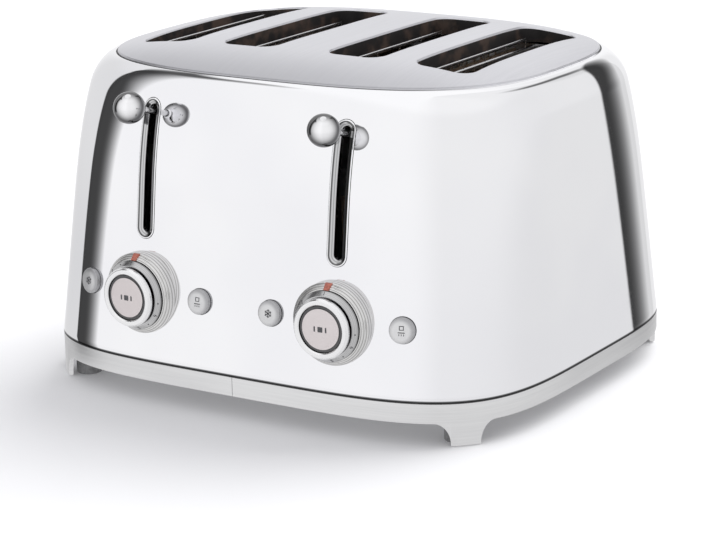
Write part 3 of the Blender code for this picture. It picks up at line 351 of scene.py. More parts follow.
class Signal:
    # A socket that can be added, taken away, multiplied, divided and raised like a number.
    def __init__(self, book, socket):
        self.book = book
        self.socket = socket

    def maths(self, operation, other, swapped=False):
        first, second = (other, self) if swapped else (self, other)
        return self.book.maths(operation, first, second)

    def __add__(self, other):
        return self.maths("ADD", other)

    def __sub__(self, other):
        return self.maths("SUBTRACT", other)

    def __rsub__(self, other):
        return self.maths("SUBTRACT", other, True)

    def __mul__(self, other):
        return self.maths("MULTIPLY", other)

    def __truediv__(self, other):
        return self.maths("DIVIDE", other)

    def __pow__(self, other):
        return self.maths("POWER", other)

    def most(self, other):
        return self.maths("MAXIMUM", other)

    __radd__ = __add__
    __rmul__ = __mul__


class NodeBook:
    def __init__(self, tree):
        self.tree = tree
        tree.nodes.clear()

    def add(self, kind, settings=None, inputs=None, output=0):
        # One node: settings first, then the values or links of its sockets.
        node = self.tree.nodes.new(kind)
        for key, value in (settings or {}).items():
            setattr(node, key, value)
        for key, value in (inputs or {}).items():
            if isinstance(value, Signal):
                self.tree.links.new(value.socket, node.inputs[key])
            else:
                node.inputs[key].default_value = value
        return Signal(self, node.outputs[output])

    def maths(self, operation, first, second=0.0):
        return self.add("ShaderNodeMath", {"operation": operation}, {0: first, 1: second})

    def degrees(self, across, along):
        # The angle from along towards across.
        return self.maths("ARCTAN2", across, along) * (180 / math.pi)

    def wave(self, value, pitch):
        # A sine with one turn for each pitch.
        return self.maths("SINE", value * (2 * math.pi / pitch))

    def place(self, centre=(0, 0, 0), scale=(1, 1, 1)):
        # Object coordinates moved and stretched by a Mapping node.
        spot = self.add("ShaderNodeTexCoord", output="Object")
        sizes = {"Vector": spot, "Location": [-c * s for c, s in zip(centre, scale)], "Scale": scale}
        return self.add("ShaderNodeMapping", {"vector_type": "POINT"}, sizes)

    def noise(self, where, scale, detail=3.0, roughness=0.55):
        sockets = {"Vector": where, "Scale": scale, "Detail": detail, "Roughness": roughness}
        return self.add("ShaderNodeTexNoise", None, sockets)

    def flakes(self, where, scale):
        # A different level for each cell.
        inputs = {"Vector": where, "Scale": scale}
        return self.split(self.add("ShaderNodeTexVoronoi", {"feature": "F1"}, inputs, "Color"), 0)
        return self.split(cells, 0)

    def fade(self, value, low, high, smooth=True):
        # 0 at low, 1 at high, also where low is the larger.
        settings = {"interpolation_type": "SMOOTHSTEP" if smooth else "LINEAR", "clamp": True}
        return self.add("ShaderNodeMapRange", settings, {"Value": value, "From Min": low, "From Max": high})

    def stripe(self, value, low, full, stillFull, high):
        # 0 up to low, 1 from full to stillFull, 0 again from high on.
        return self.fade(value, low, full) * self.fade(value, high, stillFull)

    def blend(self, factor, first, second):
        first, second = ((*c, 1) if isinstance(c, tuple) else c for c in (first, second))
        return self.add("ShaderNodeMix", {"data_type": "RGBA"}, {0: factor, 6: first, 7: second}, 2)

    def split(self, where, axis):
        return self.add("ShaderNodeSeparateXYZ", None, {0: where}, axis)

    def seat(self):
        # Across, up and out of the piece's seat, and the distance from its axis.
        names = ("seatAcross", "seatUp", "seatOut")
        attributes = [self.add("ShaderNodeAttribute", {"attribute_name": name}, None, "Fac") for name in names]
        across, up, out = attributes
        return across, up, out, (across * across + up * up) ** 0.5

    def looks(self, colour, rough, height, distance, strength):
        # What varies over a finish: colour, roughness and a fine relief.
        relief = {"Height": height, "Distance": distance, "Strength": strength}
        return {"Base Color": colour, "Roughness": rough, "Normal": self.add("ShaderNodeBump", None, relief)}


def newFinish(name, build, **constants):
    # build returns the varying sockets; everything else is a constant on the shader's own sockets.
    finish = bpy.data.materials.new(name)
    finish.use_nodes = True
    book = NodeBook(finish.node_tree)
    shader = book.add("ShaderNodeBsdfPrincipled", None, {**constants, **build(book)})
    sink = finish.node_tree.nodes.new("ShaderNodeOutputMaterial")
    finish.node_tree.links.new(shader.socket, sink.inputs["Surface"])
    return finish


# Finishes

band = {
    "low": 0.0151, "top": 0.0287, "wall": 0.0030, "seam": 0.0003, "edge": 0.0007, "innerEdge": 0.0003,
    "feetAt": 0.162, "footWidth": 0.019, "flare": 0.0107, "lift": 0.0006,
    "trayNear": 0.0200, "trayFar": 0.1280, "trayGap": 0.0003, "frameEdge": 0.0016,
    "cutFrom": 0.085, "cutPast": 0.004,
}
# The chrome's edge colour is painted shade, for the dark line along the cover's lower edge.
chrome = {
    "tint": (0.90, 0.90, 0.91), "shade": (0.86, 0.86, 0.88), "edge": (0.16, 0.16, 0.165),
    "shadeLineTop": 0.0009, "shadeLineFull": 0.0004, "polish": 0.03, "haze": 0.05, "scratch": 0.000002,
}


def coverNodes(book):
    # Polished chrome, a little hazy in patches, with painted shade as a dark line where the lower edge turns
    # in.
    soft = book.noise(book.place(), 9.0, 2.0)
    hairs = book.noise(book.place(scale=(30, 30, 420)), 1.0, 4.0)
    rough = chrome["polish"] + book.fade(soft, 0.42, 0.70) * chrome["haze"] * book.fade(hairs, 0.35, 0.75)
    colour = book.blend(book.fade(soft, 0.3, 0.7), chrome["tint"], chrome["shade"])
    # Painted shade: the lowest millimetre of the cover is darkened, as shade in the gap above the band.
    height = book.split(book.place(), 2)
    edge = book.fade(height, form["bottom"] + chrome["shadeLineTop"], form["bottom"] + chrome["shadeLineFull"])
    return book.looks(book.blend(edge, colour, chrome["edge"]), rough, hairs, chrome["scratch"], 0.15)


# The plate's front colour is a painted dark reflection along its front edge.
satin = {
    "light": (0.73, 0.73, 0.76), "dark": (0.63, 0.63, 0.66), "front": (0.36, 0.36, 0.38),
    "frontShadeFrom": -0.060, "frontShadeTo": -0.125, "rough": 0.30, "grain": 0.000012,
}
# The band's seam colour is painted shade, for the dark line along its top edge.
brushed = {
    "light": (0.80, 0.80, 0.80), "dark": (0.68, 0.68, 0.685), "seam": (0.07, 0.07, 0.072),
    "line": 0.0007, "shadeLineFade": 0.0003,
}


def satinNodes(stretch, looks):
    def build(book):
        brush = book.noise(book.place(scale=stretch), 1.0, 5.0, 0.7)
        cloud = book.noise(book.place(), 6.0, 2.0)
        shade = book.fade(brush, 0.25, 0.75) * 0.6 + book.fade(cloud, 0.3, 0.7) * 0.4
        colour = book.blend(shade, looks["dark"], looks["light"])
        if "seam" in looks:
            # Painted shade: the band's top edge is darkened into a dark line, as shade in the gap under the
            # cover.
            shadeLineLow = band["top"] - looks["line"]
            top = book.fade(book.split(book.place(), 2), shadeLineLow - looks["shadeLineFade"], shadeLineLow)
            colour = book.blend(top, colour, looks["seam"])
        else:
            # Painted dark reflection: the plate darkens over its last centimetres towards the front.
            ahead = book.fade(book.split(book.place(), 1), looks["frontShadeFrom"], looks["frontShadeTo"])
            colour = book.blend(ahead * 0.5, colour, looks["front"])
        return book.looks(colour, satin["rough"] + brush * 0.14, brush, satin["grain"], 0.35)
    return build


dial = {
    "front": 0.0175, "radius": 0.0194, "rear": 0.0012, "bore": 0.0152, "floor": 0.0130, "web": 0.0110,
    "hub": 0.0095, "tube": 0.0068, "hubRear": 0.0010,
    "rimRadius": 0.0228, "rimFront": 0.0095, "rimRear": 0.0087,
    "skirt": 0.0202, "skirtWall": 0.0016, "grooveRadius": 0.0180, "grooveFront": 0.0141, "grooveRear": 0.0123,
    "discRadius": 0.0148, "discThickness": 0.0018, "discBack": 0.0006,
    "domeRadius": 0.0131, "domeDrop": 0.0004,
    "stemRadius": 0.0038, "stemEnd": -0.0253, "numbers": 6, "numberStep": 48, "numberSize": 0.0038,
    "numberRadius": 0.0214, "numberHeight": 0.0109, "coneTurn": math.radians(45), "dot": 0.0005,
    "ink": 0.00004, "inkLift": 0.00003,
    "block": 0.0017, "bar": 0.0005, "barPlace": 0.0040, "barSink": 0.00004,
}
bezel = {
    "radius": 0.0266, "bore": 0.0220, "rear": -0.0060, "edge": 0.0003,
    "mark": 0.0046, "markTaper": 0.8, "markLow": -0.0004, "markHigh": 0.0010,
    "steps": (
        (0.0266, 0.0040), (0.0257, 0.0048), (0.0255, 0.0056), (0.0245, 0.0063),
        (0.0243, 0.0069), (0.0230, 0.0078), (0.0220, 0.0078),
    ),
}
# The groove colour is painted shade in the dial's groove, and the bore colour painted shade in the collar's
# bore.
turned = {
    "light": (0.86, 0.86, 0.865), "grey": (0.60, 0.60, 0.605), "line": (0.26, 0.255, 0.25),
    "grooveShade": (0.02, 0.02, 0.021), "edge": (0.10, 0.10, 0.102), "collar": (0.80, 0.795, 0.785),
    "bore": (0.09, 0.09, 0.092), "pitch": 0.0016, "collarPitch": 0.0026, "grain": 0.000004,
}


def barrelNodes(book):
    # The dial: a light ring in front, a groove behind it in painted shade, then greyer metal with turned
    # rings.
    across, up, out, radius = book.seat()
    soft = book.noise(book.place(), 30.0, 2.0)
    grain = book.noise(book.place(), 260.0, 3.0)
    rings = book.wave(radius - out, turned["pitch"]) * 0.5 + 0.5
    front, rear = dial["grooveFront"], dial["grooveRear"]
    light = book.fade(out, front - 0.0003, front + 0.0005)
    colour = book.blend(rings * 0.3 + soft * 0.15, turned["grey"], turned["line"])
    colour = book.blend(light, colour, turned["light"])
    edge = book.fade(radius, dial["rimRadius"] - 0.0006, dial["rimRadius"] - 0.0001) * (1 - light)
    colour = book.blend(edge * 0.5, colour, turned["edge"])
    # Painted shade in the groove, black on the upper right as a painted dark reflection; the angle runs
    # clockwise from the top.
    black = book.stripe(book.degrees(across, up), 10, 40, 80, 112)
    grooveShade = book.fade(radius, dial["radius"] - 0.00025, dial["radius"] - 0.0007)
    grooveShade = grooveShade * book.stripe(out, rear - 0.0003, rear, front - 0.00005, front + 0.00015)
    colour = book.blend(grooveShade * (0.55 + black * 0.45), colour, turned["grooveShade"])
    return book.looks(colour, 0.17 + grain * 0.10, grain, turned["grain"], 0.2)


def bezelNodes(book):
    # Grey turned steps, with a darker line at each step and painted shade in the bore.
    out, radius = book.seat()[2:]
    soft = book.noise(book.place(), 40.0, 2.0)
    grain = book.noise(book.place(), 260.0, 3.0)
    line = book.fade(book.wave(radius - out, turned["collarPitch"]), 0.1, 0.9)
    colour = book.blend(line * 0.65 + soft * 0.15, turned["collar"], turned["line"])
    # Painted shade: the collar's bore is darkened, as shade in the gap round the dial.
    bore = book.fade(radius, bezel["bore"] + 0.0009, bezel["bore"] + 0.0003)
    colour = book.blend(bore, colour, turned["bore"])
    return book.looks(colour, 0.26 + grain * 0.10, grain, turned["grain"], 0.2)


# Colours and distances of the slot trim's painted reflections: its flanks, streaks and dark outline.
trimReflections = {
    "left": (0.60, 0.60, 0.605), "right": (0.20, 0.20, 0.202), "leftReflectionStreak": (0.26, 0.26, 0.262),
    "rightReflectionStreak": (0.72, 0.72, 0.725), "outline": (0.07, 0.07, 0.072),
    "reflectionStreakAt": (0.0036, 0.0041, 0.0042, 0.0047),
    "reflectionOutlineAt": (0.0051, 0.0056, 0.0059, 0.0065), "brightAt": (0.0055, 0.0062),
}


def trimNodes(book):
    # The slot trim's painted reflections, by distance from the line down its middle: a grey flank painted
    # darker on the right, painted streaks, a painted dark outline, then plain chrome like the cover.
    across, up = book.seat()[:2]
    half = slotTrim["width"] / 2
    past = (up - slotTrim["high"] + half).most(slotTrim["low"] + half - up).most(0)
    away = (across * across + past * past) ** 0.5
    soft = book.noise(book.place(), 50.0, 2.0)
    right = book.fade(across, -0.0010, 0.0010)
    flank = book.blend(right, trimReflections["left"], trimReflections["right"])
    streak = book.blend(right, trimReflections["leftReflectionStreak"], trimReflections["rightReflectionStreak"])
    flank = book.blend(book.stripe(away, *trimReflections["reflectionStreakAt"]) * 0.7, flank, streak)
    colour = book.blend(book.fade(away, *trimReflections["brightAt"]), flank, chrome["tint"])
    outline = book.stripe(away, *trimReflections["reflectionOutlineAt"]) * (0.80 + soft * 0.2)
    colour = book.blend(outline, colour, trimReflections["outline"])
    return book.looks(colour, chrome["polish"] + soft * 0.06, soft, 0.000003, 0.1)


# The two colours that each small finish runs between, and what lies over them
paint = {
    "rod": ((0.80, 0.80, 0.81), (0.62, 0.62, 0.63)),
    "disc": ((0.68, 0.625, 0.62), (0.74, 0.69, 0.685)),
    # The disc's ring colour is painted shade in its sunk ring.
    "discRingShade": (0.10, 0.10, 0.102),
    "button": ((0.64, 0.64, 0.645), (0.76, 0.76, 0.765)),
    # The buttons' edge colour is painted shade towards their edge.
    "buttonEdgeShade": (0.34, 0.34, 0.35),
    # The strip under the plate's edge: painted shade in its dark colour, a painted reflection in its pale one.
    "shadeStrip": ((0.035, 0.035, 0.037), (0.85, 0.85, 0.86)),
    "zinc": ((0.42, 0.42, 0.43), (0.62, 0.62, 0.63)),
    "mica": ((0.30, 0.20, 0.13), (0.52, 0.40, 0.29)),
    "burnt": (0.09, 0.055, 0.035),
    "board": ((0.012, 0.085, 0.045), (0.03, 0.17, 0.085)),
    # The coil's and the spring's dark colours are painted shade between their turns.
    "coil": ((0.20, 0.075, 0.03), (0.66, 0.31, 0.15)),
    "coilPitch": 0.0009,
    "spring": ((0.03, 0.03, 0.035), (0.55, 0.55, 0.56)),
    "springPitch": 0.0042,
}


def rodNodes(book):
    # Drawn steel wire and rod: pale, a little dull, streaked along its length.
    streak = book.noise(book.place(scale=(300, 300, 20)), 1.0, 3.0)
    return book.looks(book.blend(streak, *paint["rod"]), 0.14 + streak * 0.14, streak, 0.000006, 0.3)


def discNodes(book):
    # The dial's middle: a warm pale dome inside a sunk ring painted dark as shade.
    radius = book.seat()[3]
    grain = book.noise(book.place(), 900.0, 3.0)
    warm = book.blend(book.noise(book.place(), 40.0, 2.0), *paint["disc"])
    # Painted shade: the sunk ring outside the dome is darkened.
    ring = book.fade(radius, dial["domeRadius"] - 0.0002, dial["domeRadius"])
    return book.looks(book.blend(ring, warm, paint["discRingShade"]), 0.32 + grain * 0.16, grain, 0.000006, 0.3)


def buttonNodes(book):
    # Satin metal, pale in the middle, with painted shade towards the edge, most of all up and to the right.
    across, up, out, radius = book.seat()
    grain = book.noise(book.place(), 700.0, 3.0)
    pale = book.blend(book.noise(book.place(), 60.0, 2.0), *paint["button"])
    edge = book.fade(radius + (across + up) * 0.12, 0.0048, 0.0084) * 0.8
    return book.looks(book.blend(edge, pale, paint["buttonEdgeShade"]), 0.26 + grain * 0.14, grain, 0.000006, 0.3)


def shadeStripNodes(book):
    # A dark strip of painted shade under the plate's edge, with a painted pale reflection from the right
    # front corner to the middle of the right side.
    where = book.place(centre=(0, shiftY, 0))
    speck = book.noise(book.place(), 300.0, 3.0)
    pale = book.stripe(book.degrees(book.split(where, 0), 0 - book.split(where, 1)), 40, 62, 104, 112)
    return book.looks(book.blend(pale, *paint["shadeStrip"]), 0.45 + speck * 0.2, speck, 0.00001, 0.2)


def zincNodes(book):
    # Plated sheet: blotches of dull crystals over a plain grey.
    level = book.flakes(book.place(), 170.0)
    cloud = book.noise(book.place(), 14.0, 3.0)
    colour = book.blend(level * 0.5 + cloud * 0.5, *paint["zinc"])
    return book.looks(colour, 0.32 + level * 0.22, cloud, 0.0001, 0.2)


def micaNodes(book):
    # Pressed mica: warm brown flakes, some silvery, with darker burnt patches.
    level = book.flakes(book.place(scale=(1, 1, 1.6)), 230.0)
    burnt = book.fade(book.noise(book.place(), 34.0, 4.0), 0.45, 0.68) * 0.75
    colour = book.blend(burnt, book.blend(level, *paint["mica"]), paint["burnt"])
    return book.looks(colour, 0.35 + level * 0.35, level, 0.0001, 0.5)


def plainNodes(light, dark, rough, scale, grain, reach=(0.3, 0.7), vary=0.15, strength=0.4):
    # Specks between a dark and a light colour; reach is how much of the noise the change takes up.
    def build(book):
        speck = book.noise(book.place(), scale, 4.0)
        colour = book.blend(book.fade(speck, *reach), dark, light)
        return book.looks(colour, rough + speck * vary, speck, grain, strength)
    return build


def boardNodes(book):
    # Green lacquer with slightly paler copper tracks in steps along x and z.
    line = book.fade(book.noise(book.place(scale=(260, 40, 90)), 1.0, 1.0), 0.50, 0.53)
    speck = book.noise(book.place(), 500.0, 2.0)
    return book.looks(book.blend(line, *paint["board"]), 0.25 + speck * 0.2, line, 0.00004, 0.5)


def coilNodes(book):
    # Wire turns: a sine of the height, one wave for each turn, painted light along each turn and painted shade
    # between.
    turn = book.wave(book.split(book.place(), 2), paint["coilPitch"]) * 0.5 + 0.5
    speck = book.noise(book.place(), 300.0, 3.0)
    return book.looks(book.blend(turn, *paint["coil"]), 0.25 + speck * 0.2, turn, 0.0003, 0.8)


def springNodes(book):
    # Coils of the return spring: a sine of the height, with painted shade between the turns.
    turn = book.fade(book.wave(book.split(book.place(), 2), paint["springPitch"]), -0.5, 0.6)
    return book.looks(book.blend(turn, *paint["spring"]), 0.5 - turn * 0.2, turn, 0.0006, 0.9)


coverFinish = newFinish("coverChrome", coverNodes, Metallic=1.0)
plateFinish = newFinish("satinPlate", satinNodes((520, 16, 16), satin), Metallic=1.0)
bandFinish = newFinish("satinBand", satinNodes((14, 14, 600), brushed), Metallic=1.0)
barrelFinish = newFinish("turnedBarrel", barrelNodes, Metallic=1.0)
bezelFinish = newFinish("turnedBezel", bezelNodes, Metallic=1.0)
rodFinish = newFinish("drawnRod", rodNodes, Metallic=1.0)
shadeStripFinish = newFinish("plateShadeStrip", shadeStripNodes)
discFinish = newFinish("warmDisc", discNodes, Metallic=0.55)
buttonFinish = newFinish("satinButton", buttonNodes, Metallic=0.75)
zincFinish = newFinish("platedSheet", zincNodes, Metallic=1.0)
micaFinish = newFinish("pressedMica", micaNodes, Metallic=0.1)
boardFinish = newFinish("greenBoard", boardNodes)
coilFinish = newFinish("copperWinding", coilNodes, Metallic=0.9)
springFinish = newFinish("springCoils", springNodes, Metallic=1.0)

# Speckled finishes: light colour, dark colour, roughness, grain size and depth of the relief
# The slot walls' finish: brown stains over near-black painted shade.
stainsAndShade = plainNodes((0.085, 0.058, 0.045), (0.018, 0.016, 0.016), 0.35, 60.0, 0.0001,
                     (0.46, 0.66), 0.25, 0.3)
slotWallFinish = newFinish("stainedShadedWall", stainsAndShade, Metallic=0.3)
# The pads' grey is painted shade: it is set to the tone of the floor's shade round the feet.
shadowGreyRubber = plainNodes((0.30, 0.30, 0.303), (0.20, 0.20, 0.202), 0.65, 420.0, 0.00004)
rubberFinish = newFinish("footRubberShadeGrey", shadowGreyRubber)
moulded = plainNodes((0.035, 0.035, 0.038), (0.018, 0.018, 0.02), 0.40, 600.0, 0.00003)
blackFinish = newFinish("blackMoulding", moulded)
inkFinish = newFinish("darkMark", plainNodes((0.10, 0.10, 0.105), (0.05, 0.05, 0.055), 0.45, 900.0, 0.00001))
redFinish = newFinish("redMark", plainNodes((0.60, 0.19, 0.13), (0.40, 0.12, 0.09), 0.35, 800.0, 0.00001))
heated = plainNodes((0.32, 0.30, 0.30), (0.16, 0.13, 0.13), 0.30, 220.0, 0.00003)
ribbonFinish = newFinish("heatedRibbon", heated, Metallic=1.0)
print("finishes ready")


# Cover

cover = {
    "around": 480, "lowerRows": 34, "shoulderRows": 62, "rimRound": 0.0003, "rebate": 0.0022, "ledge": 0.0065,
    "innerFrom": 12, "innerStep": 3, "closeness": 0.00015,
}
slotTrim = {
    "width": 0.0140, "low": trimLow.z, "high": trimHigh.z, "slot": 0.0058, "gap": 0.0003,
    "ends": 24, "rises": 70,
    "bead": 0.0005, "beadWidth": 0.0009, "beadFoot": 0.0012,
    "flank": 0.0012, "throat": 0.0016, "depth": 0.0040,
    "cutAhead": 0.01, "cutBack": -0.085,
}
controls = {
    "height": 0.0728, "spread": 0.0460, "buttonRadius": 0.0083, "buttonGap": 0.0004, "buttonCut": 0.006,
    "bezelLap": 0.0008, "bezelCut": 0.012,
}


def stadium(x, low, high, width, ends, rises):
    # Upright slot with round ends, counter-clockwise seen from the front.
    radius = width / 2
    bend = np.linspace(0, math.pi, ends + 1)
    rise = np.linspace(low + radius, high - radius, rises + 2)[1:-1]
    top = np.stack([x + radius * np.cos(bend), high - radius + radius * np.sin(bend)], -1)
    bottom = np.stack([x - radius * np.cos(bend), low + radius - radius * np.sin(bend)], -1)
    rightSide = np.stack([np.full(rises, x + radius), rise], -1)
    leftSide = np.stack([np.full(rises, x - radius), rise[::-1]], -1)
    return np.concatenate([rightSide, top, leftSide, bottom])


def holeProfile(radius, depth):
    # A round hole that runs as far before its seat as behind it.
    return np.array([(0, -depth), (radius, -depth), (radius, depth), (0, depth)])


def frontCutters():
    # The openings in the front: a slot, a dial's hole and two button holes on each side.
    gap = slotTrim["gap"]
    ahead = shiftY - form["depth"] / 2 - slotTrim["cutAhead"]
    dialHole = holeProfile(bezel["radius"] - controls["bezelLap"], controls["bezelCut"])
    buttonHole = holeProfile(controls["buttonRadius"] + controls["buttonGap"], controls["buttonCut"])
    parts = []
    for sign in (-1, 1):
        low, high, width = slotTrim["low"] - gap, slotTrim["high"] + gap, slotTrim["width"] + 2 * gap
        outline = stadium(sign * leverX, low, high, width, slotTrim["ends"], 8)
        parts.append(prism(outline, ahead, slotTrim["cutBack"], 1))
        parts.append(turnedPart(dialHole, seatOn(sign * leverX, controls["height"]), 96))
        for step in (1, -1):
            place = sign * (leverX + step * controls["spread"])
            parts.append(turnedPart(buttonHole, seatOn(place, controls["height"]), 72))
    return parts


def coverPoints():
    # Rows of the outside from the bottom up: even steps to the front shoulder, then even turns of it.
    start, wall, bead, rebate = form["frontShoulderStart"], form["wall"], cover["rimRound"], cover["rebate"]
    lower = np.linspace(0, start, cover["lowerRows"], endpoint=False)
    swing = np.linspace(0, math.asin(form["shoulderTurn"]), cover["shoulderRows"])
    share = np.concatenate([lower, start + (1 - start) * np.sin(swing) / form["shoulderTurn"]])
    share[-1] = 1
    z = form["bottom"] + form["height"] * share
    a, b, n = section(z)
    # The rim turns over, drops to a ledge and runs back down inside: inset and height over the rim.
    extra = [(bead * math.sin(t), -bead * (1 - math.cos(t))) for t in np.linspace(0, math.pi / 2, 5)[1:]]
    ledge = cover["ledge"]
    extra += [(bead, -rebate), (ledge, -rebate), (ledge, -rebate - wall), (bead + wall, -rebate - wall)]
    inset, drop = np.array(extra).T
    inner = slice(len(z) - cover["innerFrom"], None, -cover["innerStep"])
    a = np.concatenate([a, a[-1] - inset, a[inner] - wall, [a[0] - wall]])
    b = np.concatenate([b, b[-1] - inset, b[inner] - wall, [b[0] - wall]])
    n = np.concatenate([n, np.full(len(inset), n[-1]), n[inner], [n[0]]])
    z = np.concatenate([z, rimHeight + drop, z[inner], [z[0]]])
    angle = np.linspace(0, 2 * math.pi, cover["around"], endpoint=False)
    return ringAt(a[:, None], b[:, None], n[:, None], z[:, None], angle[None])


def onCover(points):
    z = points[:, 2]
    inside = (z > form["bottom"] - 1e-6) & (z < rimHeight + 1e-6)
    return inside & (np.abs(reach(points[:, 0], points[:, 1], z) - 1) < cover["closeness"])


shellParts = [gridPart(coverPoints(), wrapRows=True)]
shellPiece = addPiece("coverShell", shellParts, [coverFinish], "root", ("body_shell",))
cutAway(shellPiece, frontCutters())
setNormals(shellPiece, onCover, coverNormal)
print("cover ready:", len(shellPiece.data.polygons), "faces")


# Top plate

plate = {
    "thickness": 0.0015, "gap": 0.0005, "crown": 0.0115, "crownRate": 5.0, "around": 384, "rows": 46,
    "rowPower": 1.25, "underInset": 0.0025, "slotWidth": 0.0405, "slotLength": 0.1511, "slotCorner": 0.0105,
    "setback": 0.003, "pitch": form["width"] * 0.18111, "roll": 0.0016, "lift": 0.0012, "edgeInset": 0.0006,
    "edgeRoll": 0.0007, "edgeTurn": 1.4,
    "lipWall": 0.0010, "lipLap": 0.0005, "lipLift": 0.00001, "lipStep": 0.0002,
    "lipClear": 0.0003, "cutBelow": 0.02, "cutAbove": 0.03, "closeness": 0.000025,
}
# A dark strip of painted shade under the plate's edge.
shadeStrip = {"outerGap": 0.0001, "innerLap": 0.0012, "low": -0.0012, "outerHigh": 0.0001, "innerHigh": 0.0003}
rimA, rimB, rimN = (float(v) for v in section(np.array(rimHeight)))
plateA, plateB = rimA - plate["gap"], rimB - plate["gap"]
slotPlaces = [leverX - plate["pitch"] / 2, leverX + plate["pitch"] / 2]
slotPlaces = [-slotPlaces[1], -slotPlaces[0], slotPlaces[0], slotPlaces[1]]


def crownHeight(x, y):
    # Rim height plus the edge's lift plus the rest of the crown times 1 - reach^5, with the reach of the
    # plate's own superellipse.
    far = (np.abs(x / plateA) ** rimN + np.abs((y - shiftY) / plateB) ** rimN) ** (1 / rimN)
    bulge = (plate["crown"] - plate["lift"]) * (1 - np.minimum(far, 1) ** plate["crownRate"])
    return rimHeight + plate["lift"] + bulge


def crownNormal(points):
    step = 1e-5
    x, y = points[:, 0], points[:, 1]
    slopeX = (crownHeight(x + step, y) - crownHeight(x - step, y)) / (2 * step)
    slopeY = (crownHeight(x, y + step) - crownHeight(x, y - step)) / (2 * step)
    normal = np.stack([-slopeX, -slopeY, np.ones_like(x)], -1)
    return normal / np.linalg.norm(normal, axis=1, keepdims=True)


def slotOutline(x, grow, corner=14, side=40):
    # Rounded rectangle, counter-clockwise from above, the same count of points for every grow.
    halfX = plate["slotWidth"] / 2 + grow
    halfY = plate["slotLength"] / 2 + grow
    radius = plate["slotCorner"] + grow
    bend = np.linspace(0, math.pi / 2, corner + 1)
    runs = []
    corners = ((1, 1, 0), (-1, 1, 1), (-1, -1, 2), (1, -1, 3))
    for k, (sx, sy, quarter) in enumerate(corners):
        a = bend + quarter * math.pi / 2
        centre = np.array([sx * (halfX - radius), sy * (halfY - radius)])
        arc = centre + radius * np.stack([np.cos(a), np.sin(a)], -1)
        nx, ny, nq = corners[(k + 1) % 4]
        begin = nq * math.pi / 2
        nextCentre = np.array([nx * (halfX - radius), ny * (halfY - radius)])
        nextStart = nextCentre + radius * np.array([math.cos(begin), math.sin(begin)])
        run = np.linspace(0, 1, side + 2)[1:-1, None]
        runs += [arc, arc[-1] + run * (nextStart - arc[-1])]
    return np.concatenate(runs) + np.array([x, plate["setback"] + shiftY])


def platePoints():
    # Rolled edge, then rings of the crown closing on the middle, then the underside back out.
    inset, roll, lift, thickness = plate["edgeInset"], plate["edgeRoll"], plate["lift"], plate["thickness"]
    share = 1 - np.linspace(0, 1, plate["rows"], endpoint=False) ** plate["rowPower"]
    angle = np.linspace(0, 2 * math.pi, plate["around"], endpoint=False)

    def crownRing(s, inwards, drop):
        ring = ringAt(plateA * s - inwards, plateB * s - inwards, rimN, 0, angle)
        ring[:, 2] = crownHeight(ring[:, 0], ring[:, 1]) - drop
        return ring

    edge = [(inset, -thickness)]
    for t in np.linspace(0, plate["edgeTurn"], 7):
        edge.append((inset + roll * (1 - math.cos(t)), lift - roll * (1 - math.sin(t))))
    rows = [ringAt(plateA - away, plateB - away, rimN, rimHeight + rise, angle) for away, rise in edge]
    rows += [crownRing(s, (inset + roll) * (s == 1), 0) for s in share]
    middle = np.tile([0, shiftY, rimHeight + plate["crown"]], (len(angle), 1))
    rows += [middle, middle - [0, 0, thickness]]
    rows += [crownRing(s, plate["underInset"], thickness) for s in share[::-1][::3]]
    return np.stack(rows)


def shadeStripPoints():
    # A flat dark strip in the gap between the cover's bead and the plate's edge, standing in for the shade
    # there.
    angle = np.linspace(0, 2 * math.pi, plate["around"], endpoint=False)
    outer, inner = cover["rimRound"] + shadeStrip["outerGap"], plate["gap"] + plate["edgeInset"] + shadeStrip["innerLap"]
    low = shadeStrip["low"]
    corners = ((outer, low), (outer, shadeStrip["outerHigh"]), (inner, shadeStrip["innerHigh"]), (inner, low))
    rings = [ringAt(rimA - away, rimB - away, rimN, rimHeight + rise, angle) for away, rise in corners]
    return np.stack(rings)


def lipPart(x):
    # A lip round one slot: it leaves the crown, rolls over and hangs down to one level.
    roll, wall, lift, step = plate["roll"], plate["lipWall"], plate["lipLift"], plate["lipStep"]
    far = roll + plate["lipLap"]

    def crownRow(grow, rise):
        ring = slotOutline(x, grow)
        return np.column_stack([ring, crownHeight(ring[:, 0], ring[:, 1]) + rise])

    def levelRow(grow, rise):
        ring = slotOutline(x, grow)
        return np.column_stack([ring, np.full(len(ring), rimHeight - plate["thickness"] + rise)])

    bend = np.linspace(0, math.pi / 2, 9)
    over = [(roll * (1 - math.sin(t)), lift - roll * (1 - math.cos(t))) for t in bend]
    rows = [crownRow(*place) for place in [(far, lift)] + over]
    rows += [levelRow(*place) for place in ((0.0, step), (step, 0.0), (wall, 0.0))]
    under = ((wall, -roll - plate["lipClear"]), (far, step - plate["thickness"]))
    rows += [crownRow(*place) for place in under]
    # The hanging part of the lip takes the dark stained finish: brown stains over painted shade.
    finish = [1 if 8 <= k <= 12 else 0 for k in range(len(rows))]
    return gridPart(np.stack(rows), wrapRows=True, finish=finish)


def onCrown(points):
    return np.abs(points[:, 2] - crownHeight(points[:, 0], points[:, 1])) < plate["closeness"]


plateParts = [gridPart(platePoints(), wrapRows=True)]
platePiece = addPiece("crownedPlate", plateParts, [plateFinish], "root", ("top_plate",))
cutLow, cutHigh = rimHeight - plate["cutBelow"], rimHeight + plate["cutAbove"]
cutAway(platePiece, [prism(slotOutline(x, plate["roll"]), cutLow, cutHigh, 2) for x in slotPlaces])
setNormals(platePiece, onCrown, crownNormal)
addPiece("slotLips", [lipPart(x) for x in slotPlaces], [plateFinish, slotWallFinish], "root")
# A dark strip that stands in for the shade under the plate's edge.
addPiece("plateShadeStrip", [gridPart(shadeStripPoints(), wrapRows=True)], [shadeStripFinish], "root")
print("top plate ready")


# Plinth band

